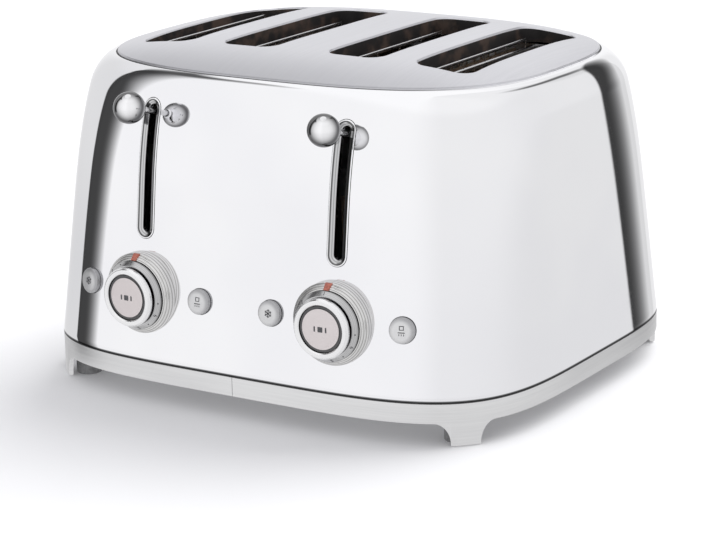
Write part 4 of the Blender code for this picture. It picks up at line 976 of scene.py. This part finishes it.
def outlineTable():
    # The base superellipse by length from the middle of the front to the middle of the back.
    angle = np.linspace(-math.pi / 2, math.pi / 2, 6001)
    n = form["baseSquareness"]
    points = ringAt(form["width"] / 2, form["depth"] / 2, n, 0, angle)
    length = np.concatenate([[0], np.cumsum(np.linalg.norm(np.diff(points[:, :2], axis=0), axis=1))])
    return points[:, 0], points[:, 1], length


tableX, tableY, tableLength = outlineTable()
halfRound = tableLength[-1]


def bandUnderside(length):
    # The lower edge runs down to each foot along a quarter circle: a drop of 1 - sqrt(1 - (1 - share)^2),
    # where the share is the distance from the foot's flat by the flare's width.
    toFeet = np.abs(length - band["feetAt"]), np.abs(halfRound - length - band["feetAt"])
    away = np.minimum(*toFeet) - band["footWidth"] / 2
    share = np.clip(away, 0, band["flare"]) / band["flare"]
    return band["low"] - (band["low"] - band["lift"]) * (1 - np.sqrt(1 - (1 - share) ** 2))


def bandPoints(sign):
    # The band's section carried along the base superellipse, one column for each length.
    swing = 1 - np.cos(np.linspace(0, math.pi / 2, 15))
    stops = [np.linspace(band["seam"] / 2, halfRound - band["seam"] / 2, 330)]
    for foot in (band["feetAt"], halfRound - band["feetAt"]):
        away = band["footWidth"] / 2 + band["flare"] * swing
        stops += [foot - away, foot + away]
    length = np.unique(np.round(np.concatenate(stops), 6))
    x = np.interp(length, tableLength, tableX)
    y = np.interp(length, tableLength, tableY)
    slope = form["baseSquareness"] - 1
    fromMiddle = y - shiftY
    outX = (x / (form["width"] / 2)) ** slope / form["width"]
    outY = np.sign(fromMiddle) * np.abs(fromMiddle / (form["depth"] / 2)) ** slope / form["depth"]
    out = np.stack([outX, outY], -1)
    out /= np.linalg.norm(out, axis=1, keepdims=True)
    # The section is drawn one centimetre tall; its upper half hangs from the band's top and its lower
    # half stands on the underside, so that the rounding keeps its size.
    tall, wall, edge, innerEdge = 0.01, band["wall"], band["edge"], band["innerEdge"]
    corners = [(0, 0, edge), (0, tall, edge), (wall, tall, innerEdge), (wall, 0, innerEdge)]
    inset, rise = roundedPath(corners, 4, True).T
    height = np.where(rise > tall / 2, band["top"] - tall + rise, bandUnderside(length)[:, None] + rise)
    points = np.stack([
        sign * (x[:, None] - out[:, :1] * inset[None]),
        y[:, None] - out[:, 1:] * inset[None],
        np.minimum(height, band["top"]),
    ], -1)
    return points.transpose(1, 0, 2)


def boxPart(low, high):
    (x0, y0, z0), (x1, y1, z1) = low, high
    ring = np.array([(x0, y0), (x1, y0), (x1, y1), (x0, y1)])
    return prism(ring, z0, z1, 2)


for side, sign in sides:
    parts = [gridPart(bandPoints(sign), wrapRows=True, wrapCols=False)]
    replaced = ("base_trim_" + side,)
    piece = addPiece("plinthBand_" + side, parts, [bandFinish], "root", replaced, 50)
    gap, frame = band["trayGap"], band["frameEdge"]
    near, far = sorted((sign * (band["trayNear"] - gap), sign * (band["trayFar"] + gap)))
    opening = boxPart((near, shiftY + band["cutFrom"], band["low"] + frame - gap),
                      (far, shiftY + form["depth"] / 2 + band["cutPast"], band["top"] - frame + gap))
    cutAway(piece, [opening], 50)
print("plinth band ready")


# Slot trims

def trimPart(x):
    # A polished funnel: a thin outer bead, a flank that slopes in and a throat that runs back into the slot.
    width, bead, depth = slotTrim["width"], slotTrim["bead"], slotTrim["depth"]
    inner = (width - slotTrim["slot"]) / 2
    corners = [
        (0, depth), (0, -bead, 0.0003), (slotTrim["beadWidth"], -bead, 0.0003),
        (slotTrim["beadFoot"], 0, 0.0002),
        (inner - 0.0002, slotTrim["flank"], 0.0002), (inner, slotTrim["throat"], 0.0002), (inner, depth),
    ]
    rows = []
    for inset, back in roundedPath(corners, 4):
        low, high = slotTrim["low"] + inset, slotTrim["high"] - inset
        across, z = stadium(x, low, high, width - 2 * inset, slotTrim["ends"], slotTrim["rises"]).T
        rows.append(np.stack([across, frontY(across, z) + back, z], -1))
    return gridPart(np.stack(rows), wrapRows=True)


trimFinish = newFinish("trimChrome", trimNodes, Metallic=1.0)
for side, sign in sides:
    replaced = ("lever_slot_trim_" + side,)
    parts = [trimPart(sign * leverX)]
    piece = addPiece("slotTrim_" + side, parts, [trimFinish], "root", replaced, 50)
    noteSeat(piece, np.array([(sign * leverX, 0, 0), (1, 0, 0), (0, 0, 1), (0, -1, 0)], float))
print("slot trims ready")


# Levers

lever = {
    "tilt": math.radians(15), "stemHeight": 0.1890, "stemRadius": 0.0021,
    "standoff": 0.0248, "ballRadius": 0.01035,
    "collar": 0.0036, "collarLength": 0.0009, "socket": 0.006, "fit": 0.0003,
    "armWidth": 0.003, "armHeight": 0.0076,
    "armRound": 0.0005, "setback": 0.009, "carriageY": -0.0890, "carriageWall": 0.0015,
}
# Directions, fades and colours of the ball's painted reflections and painted highlights.
ballReflections = {
    "reflectionCapBefore": (0.5152, -0.8154, 0.2640), "reflectionCapBehind": (0.515, 0.79, -0.336), "reflectionCapFade": (0.50, 1.02),
    "highlightBefore": (0.332, -0.53, 0.93), "highlightBehind": (0.332, 0.53, 0.93), "highlightFade": (0.975, 0.985),
    "dark": (0.10, 0.10, 0.103), "grey": (0.15, 0.15, 0.153), "bright": (0.93, 0.93, 0.94),
}


def leverSeat(sign):
    origin = np.array([sign * leverX, float(frontY(leverX, lever["stemHeight"])), lever["stemHeight"]])
    right = np.array([1.0, 0, 0])
    out = np.array([0, -math.cos(lever["tilt"]), math.sin(lever["tilt"])])
    return origin, right, np.cross(out, right), out


def ballProfile():
    # A sphere with a small turned collar where the stem goes in.
    radius, centre, collar = lever["ballRadius"], lever["standoff"], lever["collar"]
    swing = np.linspace(math.asin(collar / radius), math.pi, 60)
    sphere = np.stack([radius * np.sin(swing), centre - radius * np.cos(swing)], -1)
    sphere[-1, 0] = 0
    bore, face = lever["stemRadius"] + lever["fit"], centre - radius - lever["collarLength"]
    bottom, rim = centre - radius + lever["socket"], collar - 0.0002
    corners = [(0, bottom), (bore, bottom), (bore, face, 0.0002), (rim, face, 0.0003), (rim, sphere[0, 1])]
    neck = roundedPath(corners, 4)
    return np.concatenate([neck[:-1], sphere])


def ballNodes(book):
    # A polished ball with painted reflections: two painted bright caps, one before and one behind, in a
    # painted dark grey surround, and a small painted highlight above each. The directions are in the object's
    # axes.
    across, up, out = book.seat()[:3]
    axes = np.stack(leverSeat(1)[1:])
    radius = lever["ballRadius"]
    place = (across / radius, up / radius, (out - lever["standoff"]) / radius)

    def towards(name):
        direction = np.array(ballReflections[name])
        a, b, c = (float(v) for v in axes @ (direction / np.linalg.norm(direction)))
        return place[0] * a + place[1] * b + place[2] * c

    bright = book.fade(towards("reflectionCapBefore").most(towards("reflectionCapBehind")), *ballReflections["reflectionCapFade"])
    highlights = book.fade(towards("highlightBefore").most(towards("highlightBehind")), *ballReflections["highlightFade"])
    soft = book.noise(book.place(), 120.0, 2.0)
    grey = book.blend(soft, ballReflections["dark"], ballReflections["grey"])
    colour = book.blend(bright.most(highlights * 0.8), grey, ballReflections["bright"])
    return book.looks(colour, 0.03 + soft * 0.04, soft, 0.000003, 0.1)


ballFinish = newFinish("ballChrome", ballNodes, Metallic=1.0)


def leverParts(sign):
    # A round stem along the seat's axis, and a flat arm that runs back to the carriage.
    fit, r, turn = lever["fit"], lever["stemRadius"], lever["armRound"]
    tip = lever["standoff"] - lever["ballRadius"] + lever["socket"] - fit
    root = -(lever["setback"] + lever["armWidth"]) / math.cos(lever["tilt"])
    stem = roundedPath([(0, root), (r, root, 0.0003), (r, tip, 0.0003), (0, tip)], 4)
    origin = leverSeat(sign)[0]
    drop = lever["setback"] * math.tan(lever["tilt"])
    y0 = origin[1] + lever["setback"]
    y1 = shiftY + lever["carriageY"] - lever["carriageWall"] - fit
    w, h = lever["armWidth"] / 2, lever["armHeight"] / 2
    outline = roundedPath([(-w, -h, turn), (w, -h, turn), (w, h, turn), (-w, h, turn)], 4, True)
    outline = outline + [origin[0], origin[2] - drop]
    return [turnedPart(stem, leverSeat(sign), 40), prism(outline, y0, y1, 1)]


for side, sign in sides:
    rides = "lever_" + side
    ballParts = [turnedPart(ballProfile(), leverSeat(sign), 96)]
    ball = addPiece("leverBall_" + side, ballParts, [ballFinish], rides, ("lever_ball_" + side,))
    noteSeat(ball, leverSeat(sign))
    addPiece("leverStem_" + side, leverParts(sign), [rodFinish], rides, ("lever_arm_" + side,))
print("levers ready")


# Dials and their bezels

def bezelProfile():
    # A collar round the dial's root: low steps from its wall in to the bore, its rear sunk in the cover.
    steps = [(r, h, bezel["edge"]) for r, h in bezel["steps"]]
    return roundedPath([(bezel["bore"], bezel["rear"]), (bezel["radius"], bezel["rear"]), *steps], 4, True)


def dialProfile():
    # Convex front ring, groove, cone with the numbers, thin rim, then the skirt and the inside.
    d = dial
    coneStart = d["radius"] + 0.0006
    return roundedPath([
        (d["bore"], d["floor"]), (d["bore"], d["front"] - 0.0008, 0.0001),
        (d["bore"] + 0.0007, d["front"], 0.0006),
        (d["radius"] - 0.0012, d["front"] - 0.0001, 0.0010), (d["radius"], d["front"] - 0.0016, 0.0008),
        (d["radius"], d["grooveFront"], 0.0002), (d["grooveRadius"], d["grooveFront"] - 0.0001, 0.0001),
        (d["grooveRadius"], d["grooveRear"], 0.0001), (coneStart, d["grooveRear"], 0.0001),
        (d["rimRadius"], d["rimFront"], 0.0004), (d["rimRadius"], d["rimRear"], 0.0003),
        (d["skirt"], d["rimRear"], 0.0002),
        (d["skirt"], d["rear"]), (d["skirt"] - d["skirtWall"], d["rear"]),
        (d["skirt"] - d["skirtWall"], d["web"]),
        (d["hub"], d["web"]), (d["hub"], d["hubRear"]), (d["tube"], d["hubRear"]), (d["tube"], d["floor"]),
    ], 5, True)


def discProfile():
    # A low dome, front - drop * (r / domeRadius)^2, a step down to the sunk ring, then edge and stem.
    front, stem, end = dial["front"] - dial["discBack"], dial["stemRadius"], dial["stemEnd"]
    radius, domeRadius, back = dial["discRadius"], dial["domeRadius"], front - dial["discThickness"]
    r = np.linspace(0, domeRadius - 0.0006, 9)
    dome = np.stack([r, front - dial["domeDrop"] * (r / domeRadius) ** 2], -1)
    rest = roundedPath([
        tuple(dome[-1]), (domeRadius, front - 0.0005, 0.0003), (domeRadius + 0.0001, front - 0.0010),
        (radius, front - 0.0009, 0.0003), (radius, back), (stem, back), (stem, end), (0, end),
    ], 5)
    return np.concatenate([dome[:-1], rest])


def textOutline(words, size):
    # A flat numeral as points and faces, centred on its own middle.
    curve = bpy.data.curves.new("numeral", "FONT")
    curve.body = words
    curve.size = size
    curve.align_x = "CENTER"
    curve.align_y = "CENTER"
    curve.extrude = dial["ink"]
    holder = bpy.data.objects.new("numeral", curve)
    bpy.context.scene.collection.objects.link(holder)
    mesh = bpy.data.meshes.new_from_object(holder.evaluated_get(bpy.context.evaluated_depsgraph_get()))
    co = readAll(mesh.vertices, "co", 3)
    faces = [list(face.vertices) for face in mesh.polygons]
    bpy.data.meshes.remove(mesh)
    bpy.data.objects.remove(holder)
    bpy.data.curves.remove(curve)
    return co, faces


def onCone(co, faces, seat, angle, finish):
    # A flat mark laid on the cone: its x becomes an angle, its y runs down the cone, its z stands off it.
    origin, right, up, out = seat
    c, s = math.cos(dial["coneTurn"]), math.sin(dial["coneTurn"])
    lift = co[:, 2] + dial["inkLift"]
    radius = dial["numberRadius"] + co[:, 1] * c + lift * s
    height = dial["numberHeight"] - co[:, 1] * s + lift * c
    bend = angle + co[:, 0] / dial["numberRadius"]
    radial = np.sin(bend)[:, None] * right + np.cos(bend)[:, None] * up
    return origin + radius[:, None] * radial + height[:, None] * out, faces, finish


def dotOutline(size):
    angle = np.linspace(0, 2 * math.pi, 12, endpoint=False)
    ring = np.stack([size * np.cos(angle), size * np.sin(angle), 0 * angle], -1)
    return gridPart(np.stack([ring - [0, 0, dial["ink"]], ring + [0, 0, dial["ink"]]]))[:2]


def flatMark(outline, seat, height, thickness):
    # A small printed shape on a disc, from its outline in the disc's plane; 1 is the ink of each disc.
    origin, right, up, out = seat
    flat = origin + outline[:, :1] * right + outline[:, 1:] * up
    return gridPart(np.stack([flat + (height + d) * out for d in (-thickness, thickness)]), finish=1)


def blockMark(x, w, h, seat, height):
    # A solid block with rounded corners, a part of the plain sign for stop.
    corners = [(x - w, -h, 0.0004), (x + w, -h, 0.0004), (x + w, h, 0.0004), (x - w, h, 0.0004)]
    return flatMark(roundedPath(corners, 4, True), seat, height, 0.00010)


def pointerPart(seat):
    # A short red wedge laid on the top of the collar's slope.
    origin, right, up, out = seat
    wide = bezel["mark"] / 2
    narrow = wide * bezel["markTaper"]
    near, far = bezel["steps"][5], bezel["steps"][0]
    corners = [(-narrow, *near), (narrow, *near), (wide, *far), (-wide, *far)]
    lifts = (bezel["markLow"], bezel["markHigh"])
    rows = [[origin + x * right + r * up + (h + lift) * out for x, r, h in corners] for lift in lifts]
    return gridPart(np.array(rows), finish=1)


for side, sign in sides:
    level = seatOn(sign * leverX, controls["height"], False)
    parts = [turnedPart(bezelProfile(), level, 144, True), pointerPart(level)]
    replaced = ("knob_bezel_" + side,)
    piece = addPiece("dialBezel_" + side, parts, [bezelFinish, redFinish], "root", replaced)
    noteSeat(piece, level)
    parts = [turnedPart(dialProfile(), level, 160, True)]
    for k in range(dial["numbers"]):
        angle = -math.radians(k * dial["numberStep"])
        parts.append(onCone(*textOutline(str(k + 1), dial["numberSize"]), level, angle, 1))
        parts.append(onCone(*dotOutline(dial["dot"]), level, angle - math.radians(dial["numberStep"] / 2), 1))
    replaced = ("knob_dial_" + side,)
    looks = [barrelFinish, inkFinish]
    piece = addPiece("dialBarrel_" + side, parts, looks, "dial_" + side, replaced, 30)
    noteSeat(piece, level)
    face, tall = dial["front"] - dial["discBack"], dial["block"]
    parts = [turnedPart(discProfile(), level, 96), blockMark(0, tall, tall, level, face)]
    for x in (-dial["barPlace"], dial["barPlace"]):
        parts.append(blockMark(x, dial["bar"], tall, level, face - dial["barSink"]))
    piece = addPiece("stopDisc_" + side, parts, [discFinish, inkFinish], "stop_" + side,
                     ("stop_button_" + side,), 30)
    noteSeat(piece, level)
print("dials ready")


# Function buttons

button = {
    "radius": controls["buttonRadius"], "proud": 0.0026, "dome": 0.0008, "faceEdge": 0.0012, "round": 0.0008,
    "rear": -0.0034, "flange": 0.0016, "stem": 0.0080, "stemRadius": 0.0030, "ink": 0.00006,
}
# The signs are strokes in metres from the button's middle: two ends and a width.
flake = {
    "arm": 0.0027, "width": 0.0006, "twigAt": 0.0015, "twig": 0.0011, "twigWidth": 0.00045, "twigTurn": 55,
}
warmStrokes = (
    (-0.0022, -0.0012, 0.0022, -0.0012, 0.0006), (-0.0015, -0.0032, -0.0015, -0.0020, 0.0005),
    (0, -0.0032, 0, -0.0020, 0.0005), (0.0015, -0.0032, 0.0015, -0.0020, 0.0005),
    (-0.0013, 0.0004, -0.0013, 0.0028, 0.0005), (0.0013, 0.0004, 0.0013, 0.0028, 0.0005),
    (-0.0015, 0.0005, 0.0015, 0.0005, 0.0005), (-0.0015, 0.0028, 0.0015, 0.0028, 0.0005),
)


def buttonFace(r):
    # The crown of the button's face: proud + dome * (1 - (r / radius)^2)
    return button["proud"] + button["dome"] * (1 - (r / button["radius"]) ** 2)


def buttonProfile():
    # The domed face, its rounded edge, the flange behind the cover and the stem.
    radius, rear, stem = button["radius"], button["rear"], button["stemRadius"]
    flange, flangeFront, end = radius + button["flange"], rear + button["flange"], rear - button["stem"]
    r = np.linspace(0, radius - button["faceEdge"], 10)
    dome = np.stack([r, buttonFace(r)], -1)
    rest = roundedPath([
        tuple(dome[-1]), (radius, button["proud"] + 0.0001, button["round"]), (radius, flangeFront),
        (flange, flangeFront), (flange, rear), (stem, rear), (stem, end), (0, end),
    ], 6)
    return np.concatenate([dome[:-1], rest])


def barMark(x0, y0, x1, y1, width, seat):
    # One straight stroke on the button's face.
    first, last = np.array([x0, y0]), np.array([x1, y1])
    along = (last - first) / np.linalg.norm(last - first)
    across = np.array([-along[1], along[0]]) * width / 2
    outline = np.array([first - across, last - across, last + across, first + across])
    middle = np.linalg.norm((first + last) / 2)
    return flatMark(outline, seat, float(buttonFace(middle)), button["ink"])


def flakeMarks(seat):
    # Three crossed bars with short side strokes: the plain sign for thawing.
    arm, at, twig = flake["arm"], flake["twigAt"], flake["twig"]
    parts = []
    for angle in (30, 90, 150):
        c, s = math.cos(math.radians(angle)), math.sin(math.radians(angle))
        parts.append(barMark(-arm * c, -arm * s, arm * c, arm * s, flake["width"], seat))
        for way in (-1, 1):
            for bend in (-1, 1):
                a = math.radians(angle + bend * flake["twigTurn"])
                x, y = way * at * c, way * at * s
                end = x + way * twig * math.cos(a), y + way * twig * math.sin(a)
                parts.append(barMark(x, y, *end, flake["twigWidth"], seat))
    return parts


for number, (sign, step) in enumerate(((-1, 1), (-1, -1), (1, -1), (1, 1)), start=1):
    seat = seatOn(sign * (leverX + step * controls["spread"]), controls["height"])
    # The plain sign for warming is a slice over three short strokes.
    marks = flakeMarks(seat) if number % 2 else [barMark(*stroke, seat) for stroke in warmStrokes]
    parts = [turnedPart(buttonProfile(), seat, 72)] + marks
    piece = addPiece("pushButton_%d" % number, parts, [buttonFinish, inkFinish], "function_%d" % number,
                     ("function_button_%d" % number,), 30)
    noteSeat(piece, seat)
print("push buttons ready")


# Bread guards and heating cards

guard = {
    "wire": 0.0017, "uprightWire": 0.00136, "rail": 0.0030, "verticals": 17,
    "hoop": 0.0070, "hoopInset": 0.0120, "hoopWire": 0.0009, "hoopLegs": 6,
}
card = {
    "gap": 0.0001, "ribbons": 15, "height": 0.0014, "wall": 0.00018, "low": 0.010, "high": 0.008,
    "side": 0.003, "lean": 0.0035,
}


def uprights(x, y, low, high, width):
    # Round wires from one height to the other, one at each y.
    starts, ends = (np.column_stack([np.full_like(y, x), y, np.full_like(y, z)]) for z in (low, high))
    return rodParts(starts, ends, width, width, (1, 0, 0))


def guardParts(low, high):
    # Upright wires between two rails with two wires across, and a hoop on the top rail, inside the
    # slot's length.
    x = (low.x + high.x) / 2
    y = np.linspace(low.y + guard["wire"], high.y - guard["wire"], guard["verticals"])
    z0, z1 = low.z + guard["rail"] / 2, high.z - guard["rail"] / 2
    parts = [uprights(x, y, z0, z1, guard["uprightWire"])]
    levels = (z0, (z0 * 2 + z1) / 3, (z0 + z1 * 2) / 3, z1)
    for z, size in zip(levels, (guard["rail"], guard["wire"], guard["wire"], guard["rail"])):
        width = min(size, high.x - low.x)
        parts.append(rodParts([(x, low.y, z)], [(x, high.y, z)], width, size, (1, 0, 0), 12))
    y0, y1, top = low.y + guard["hoopInset"], high.y - guard["hoopInset"], z1 + guard["hoop"]
    parts.append(uprights(x, np.linspace(y0, y1, guard["hoopLegs"]), z1, top, guard["hoopWire"]))
    ends = [(x, y0 - guard["wire"] / 2, top)], [(x, y1 + guard["wire"] / 2, top)]
    parts.append(rodParts(*ends, guard["hoopWire"], guard["wire"], (1, 0, 0), 12))
    return parts


for number in (1, 2, 3, 4):
    leverSide = "left" if number < 3 else "right"
    for side, way in (("left", "rightward"), ("right", "leftward")):
        node = "bread_guard_%d_%s" % (number, side)
        addPiece("wireGuard_%d_%s" % (number, side), guardParts(*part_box(node)), [rodFinish],
                 leverSide + "_guards_" + way, (node,))


def cardParts(low, high):
    # A mica sheet with flat ribbon wound round it.
    z = np.linspace(low.z + card["low"], high.z - card["high"], card["ribbons"])
    parts = [boxPart(tuple(low), tuple(high))]
    for x, way in ((low.x - card["gap"], -1), (high.x + card["gap"], 1)):
        starts = np.column_stack([np.full_like(z, x), np.full_like(z, low.y + card["side"]), z])
        lean = card["lean"] * way
        ends = np.column_stack([np.full_like(z, x), np.full_like(z, high.y - card["side"]), z + lean])
        parts.append(rodParts(starts, ends, card["wall"], card["height"], (1, 0, 0), 4, 1))
    return parts


for number in range(1, 7):
    node = "heater_card_%d" % number
    parts = cardParts(*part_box(node))
    addPiece("heatingCard_%d" % number, parts, [micaFinish, ribbonFinish], "root", (node,))
print("guards and cards ready")


# Cord gland

gland = {
    "height": 0.045, "radius": 0.0080, "flange": 0.0105, "flangeRear": 0.0003, "flangeFront": 0.0022,
    "proud": 0.0035, "length": 0.0160, "bore": 0.0038,
}


def glandSeat():
    z = gland["height"]
    front = seatOn(0.0, z)
    origin = np.array([0, 2 * shiftY - front[0][1], z])
    out = np.array([0, -front[3][1], front[3][2]])
    right = np.array([-1.0, 0, 0])
    return origin, right, np.cross(out, right), out

bore, rear = gland["bore"], gland["proud"] - gland["length"]
glandProfile = roundedPath([
    (bore, rear), (gland["radius"], rear), (gland["radius"], gland["flangeRear"]),
    (gland["flange"], gland["flangeRear"], 0.0002), (gland["flange"], gland["flangeFront"], 0.0008),
    (bore + 0.0022, gland["proud"], 0.0006), (bore, gland["proud"], 0.0008),
], 5, True)
glandParts = [turnedPart(glandProfile, glandSeat(), 72, True)]
addPiece("cordGland", glandParts, [blackFinish], "root", ("cord_gland",))
print("gland ready")


# Finishes of the solids that stay

kept = (
    (zincFinish, ("base_pan", "chassis_front", "chassis_rear", "guide_rod_left", "guide_rod_right",
                  "carriage_left", "carriage_right",
                  "bread_rack_1", "bread_rack_2", "bread_rack_3", "bread_rack_4")),
    (springFinish, ("return_spring_left", "return_spring_right")),
    (bandFinish, ("crumb_tray_left", "crumb_tray_right")),
    (rubberFinish, ("foot_pad_front_left", "foot_pad_front_right",
                    "foot_pad_rear_left", "foot_pad_rear_right")),
    (blackFinish, ("dial_encoder_left", "dial_encoder_right")),
    (boardFinish, ("control_board_left", "control_board_right")),
    (coilFinish, ("electromagnet_left", "electromagnet_right")),
)
for finish, names in kept:
    for name in names:
        nodes[name].data.materials.clear()
        nodes[name].data.materials.append(finish)
print("kept solids finished")


# Floor, light and camera

studio = {
    "floorSize": 9.0, "floorTint": (0.93, 0.93, 0.935), "floorPale": (0.95, 0.95, 0.955),
    "shade": (0.76, 0.76, 0.785),
    "sun": 2.4, "sunAngle": 55, "sunAim": (-44, 16),
}
# The dark flags of the studio, in degrees round it (from the front towards +X, or from the back) and up
flags = {
    "white": 0.93, "dark": 0.94, "left": -83.6, "leftFront": -75, "leftEnd": -60,
    "leftHeights": (-24, -16, 50.5, 54.5),
    "archWidth": 27, "archHeight": 28.6, "tail": 0.8, "tailLean": 0.8, "tailWidths": (-6.5, -1.5, 1.5, 6.5),
    "tailHeights": (27, 30, 42, 62),
}


def floorNodes(book):
    speck = book.noise(book.place(), 3.0, 2.0)
    colour = book.blend(speck, studio["floorTint"], studio["floorPale"])
    return {"Base Color": colour, "Roughness": 0.8 + speck * 0.1}


line = np.linspace(-studio["floorSize"], studio["floorSize"], 9)
gridX, gridY = np.meshgrid(line, line)
floorPoints = np.stack([gridX, gridY, 0 * gridX], -1).reshape(-1, 3)
floor = rawObject("studioFloor", [(floorPoints, gridFaces(9, 9, False, False).tolist(), 0)])
floor.data.materials.append(newFinish("paleFloor", floorNodes))
floor.visible_glossy = False

sunLight = bpy.data.lights.new("softSun", "SUN")
sunLight.energy = studio["sun"]
sunLight.angle = math.radians(studio["sunAngle"])
sun = bpy.data.objects.new("softSun", sunLight)
sun.rotation_euler = (math.radians(studio["sunAim"][0]), math.radians(studio["sunAim"][1]), 0)
sun.visible_glossy = False
bpy.context.scene.collection.objects.link(sun)


def worldNodes(book):
    # A white studio with two dark flags, by direction: azimuth from the front towards +X, and elevation.
    way = book.add("ShaderNodeTexCoord", output="Generated")
    x, y, z = (book.split(way, axis) for axis in range(3))
    azimuth, behind = book.degrees(x, 0 - y), book.degrees(0 - x, y)
    elevation = book.maths("ARCSINE", z) * (180 / math.pi)
    rise = elevation.most(0)
    # White: a little brighter overhead, greyer to the far left, straight behind and below.
    white = flags["white"] + 0.09 * book.fade(azimuth, 36, 4) - 0.04 * book.fade(azimuth, 90, 140)
    white = white + 0.06 * book.fade(elevation, 40, 58) - 0.05 * book.fade(elevation, 0, -12)
    farLeft = book.stripe(azimuth, -150, -115, -86, -78) * book.fade(elevation, 60, 45)
    white = white - farLeft * (0.21 - 0.09 * book.fade(elevation, 20, 40))
    white = white - 0.10 * book.stripe(behind, -15, -8, 10, 18) * book.fade(elevation, 45, 30)
    # Flag on the left: sharp on its far side, fading towards the front, and closing above 50 degrees.
    middle = flags["left"] - rise * 0.11 - (elevation - 30).most(0) * 0.5 - (elevation - 38).most(0)
    softness = 0.8 + (elevation - 37.5).most(0) * 2
    farSide = book.fade(azimuth, middle - softness, middle + softness)
    upper = book.fade(elevation, 43, 49)
    front = flags["leftFront"] - 7.5 * book.fade(elevation, 14, 33) + 12 * upper
    ahead = book.fade(azimuth, front, flags["leftEnd"] + 8 * upper, smooth=False)
    leftFlag = farSide * (1 - ahead ** (3 - book.fade(elevation, 13, 25)))
    leftFlag = leftFlag * book.stripe(elevation, *flags["leftHeights"])
    leftFlag = leftFlag * (flags["dark"] - 0.05 * book.fade(elevation, 38, 48))
    # Arch behind on the right: an ellipse, sharp outside, fading towards its middle.
    bow = ((behind / flags["archWidth"]) ** 2 + (elevation / flags["archHeight"]) ** 2) ** 0.5
    square = rise * rise
    into = book.fade(behind, -24 + square * 0.03, -8.5 + square * 0.05, smooth=False)
    arch = book.fade(bow, 1.015, 0.985) * (1 - into ** 1.7) * flags["dark"]
    # A thin line that leaves the arch's top and leans to the right.
    drift = behind + (elevation - 31).most(0) * flags["tailLean"]
    tail = book.stripe(drift, *flags["tailWidths"]) * book.stripe(elevation, *flags["tailHeights"])
    light = white * (1 - leftFlag) * (1 - arch) * (1 - tail * flags["tail"])
    colour = book.add("ShaderNodeCombineXYZ", None, {0: light, 1: light, 2: light * 1.01})
    studioLight = book.add("ShaderNodeBackground", None, {"Color": colour})
    plain = book.add("ShaderNodeBackground", None, {"Color": (1, 1, 1, 1), "Strength": 1.0})
    # Matt surfaces get less of the studio's light, so that the floor's shade is deep enough.
    matt = book.add("ShaderNodeLightPath", output="Is Diffuse Ray")
    level = book.add("ShaderNodeBackground", None, {"Color": (*studio["shade"], 1), "Strength": 1.0})
    lit = book.add("ShaderNodeMixShader", None, {0: matt, 1: studioLight, 2: level})
    seen = book.add("ShaderNodeLightPath", output="Is Camera Ray")
    mixed = book.add("ShaderNodeMixShader", None, {0: seen, 1: lit, 2: plain})
    sink = book.tree.nodes.new("ShaderNodeOutputWorld")
    book.tree.links.new(mixed.socket, sink.inputs["Surface"])


world = bpy.data.worlds.new("whiteStudio")
world.use_nodes = True
worldNodes(NodeBook(world.node_tree))
bpy.context.scene.world = world

view = {
    "azimuth": 32.29, "elevation": 15.31, "roll": -1.07, "distance": 1.73976, "aimHeight": 0.06459,
    "lens": 128.41, "shiftX": -0.00489, "shiftY": -0.0080,
}
az, el, roll = (math.radians(view[key]) for key in ("azimuth", "elevation", "roll"))
back = np.array([math.sin(az) * math.cos(el), -math.cos(az) * math.cos(el), math.sin(el)])
right = np.array([math.cos(az), math.sin(az), 0])
up = np.cross(back, right)
right, up = math.cos(roll) * right + math.sin(roll) * up, -math.sin(roll) * right + math.cos(roll) * up
cameraData = bpy.data.cameras.new("productCamera")
cameraData.lens = view["lens"]
cameraData.sensor_width = 36
cameraData.shift_x = view["shiftX"]
cameraData.shift_y = view["shiftY"]
cameraData.clip_start = 0.05
cameraData.dof.use_dof = False
camera = bpy.data.objects.new("productCamera", cameraData)
spot = np.array([0, shiftY, view["aimHeight"]]) + back * view["distance"]
rows = [[*axes, place] for axes, place in zip(np.stack([right, up, back], 1), spot)]
camera.matrix_world = Matrix(rows + [[0, 0, 0, 1]])
bpy.context.scene.collection.objects.link(camera)
bpy.context.scene.camera = camera
bpy.context.scene.view_settings.view_transform = "Standard"
print("studio ready")
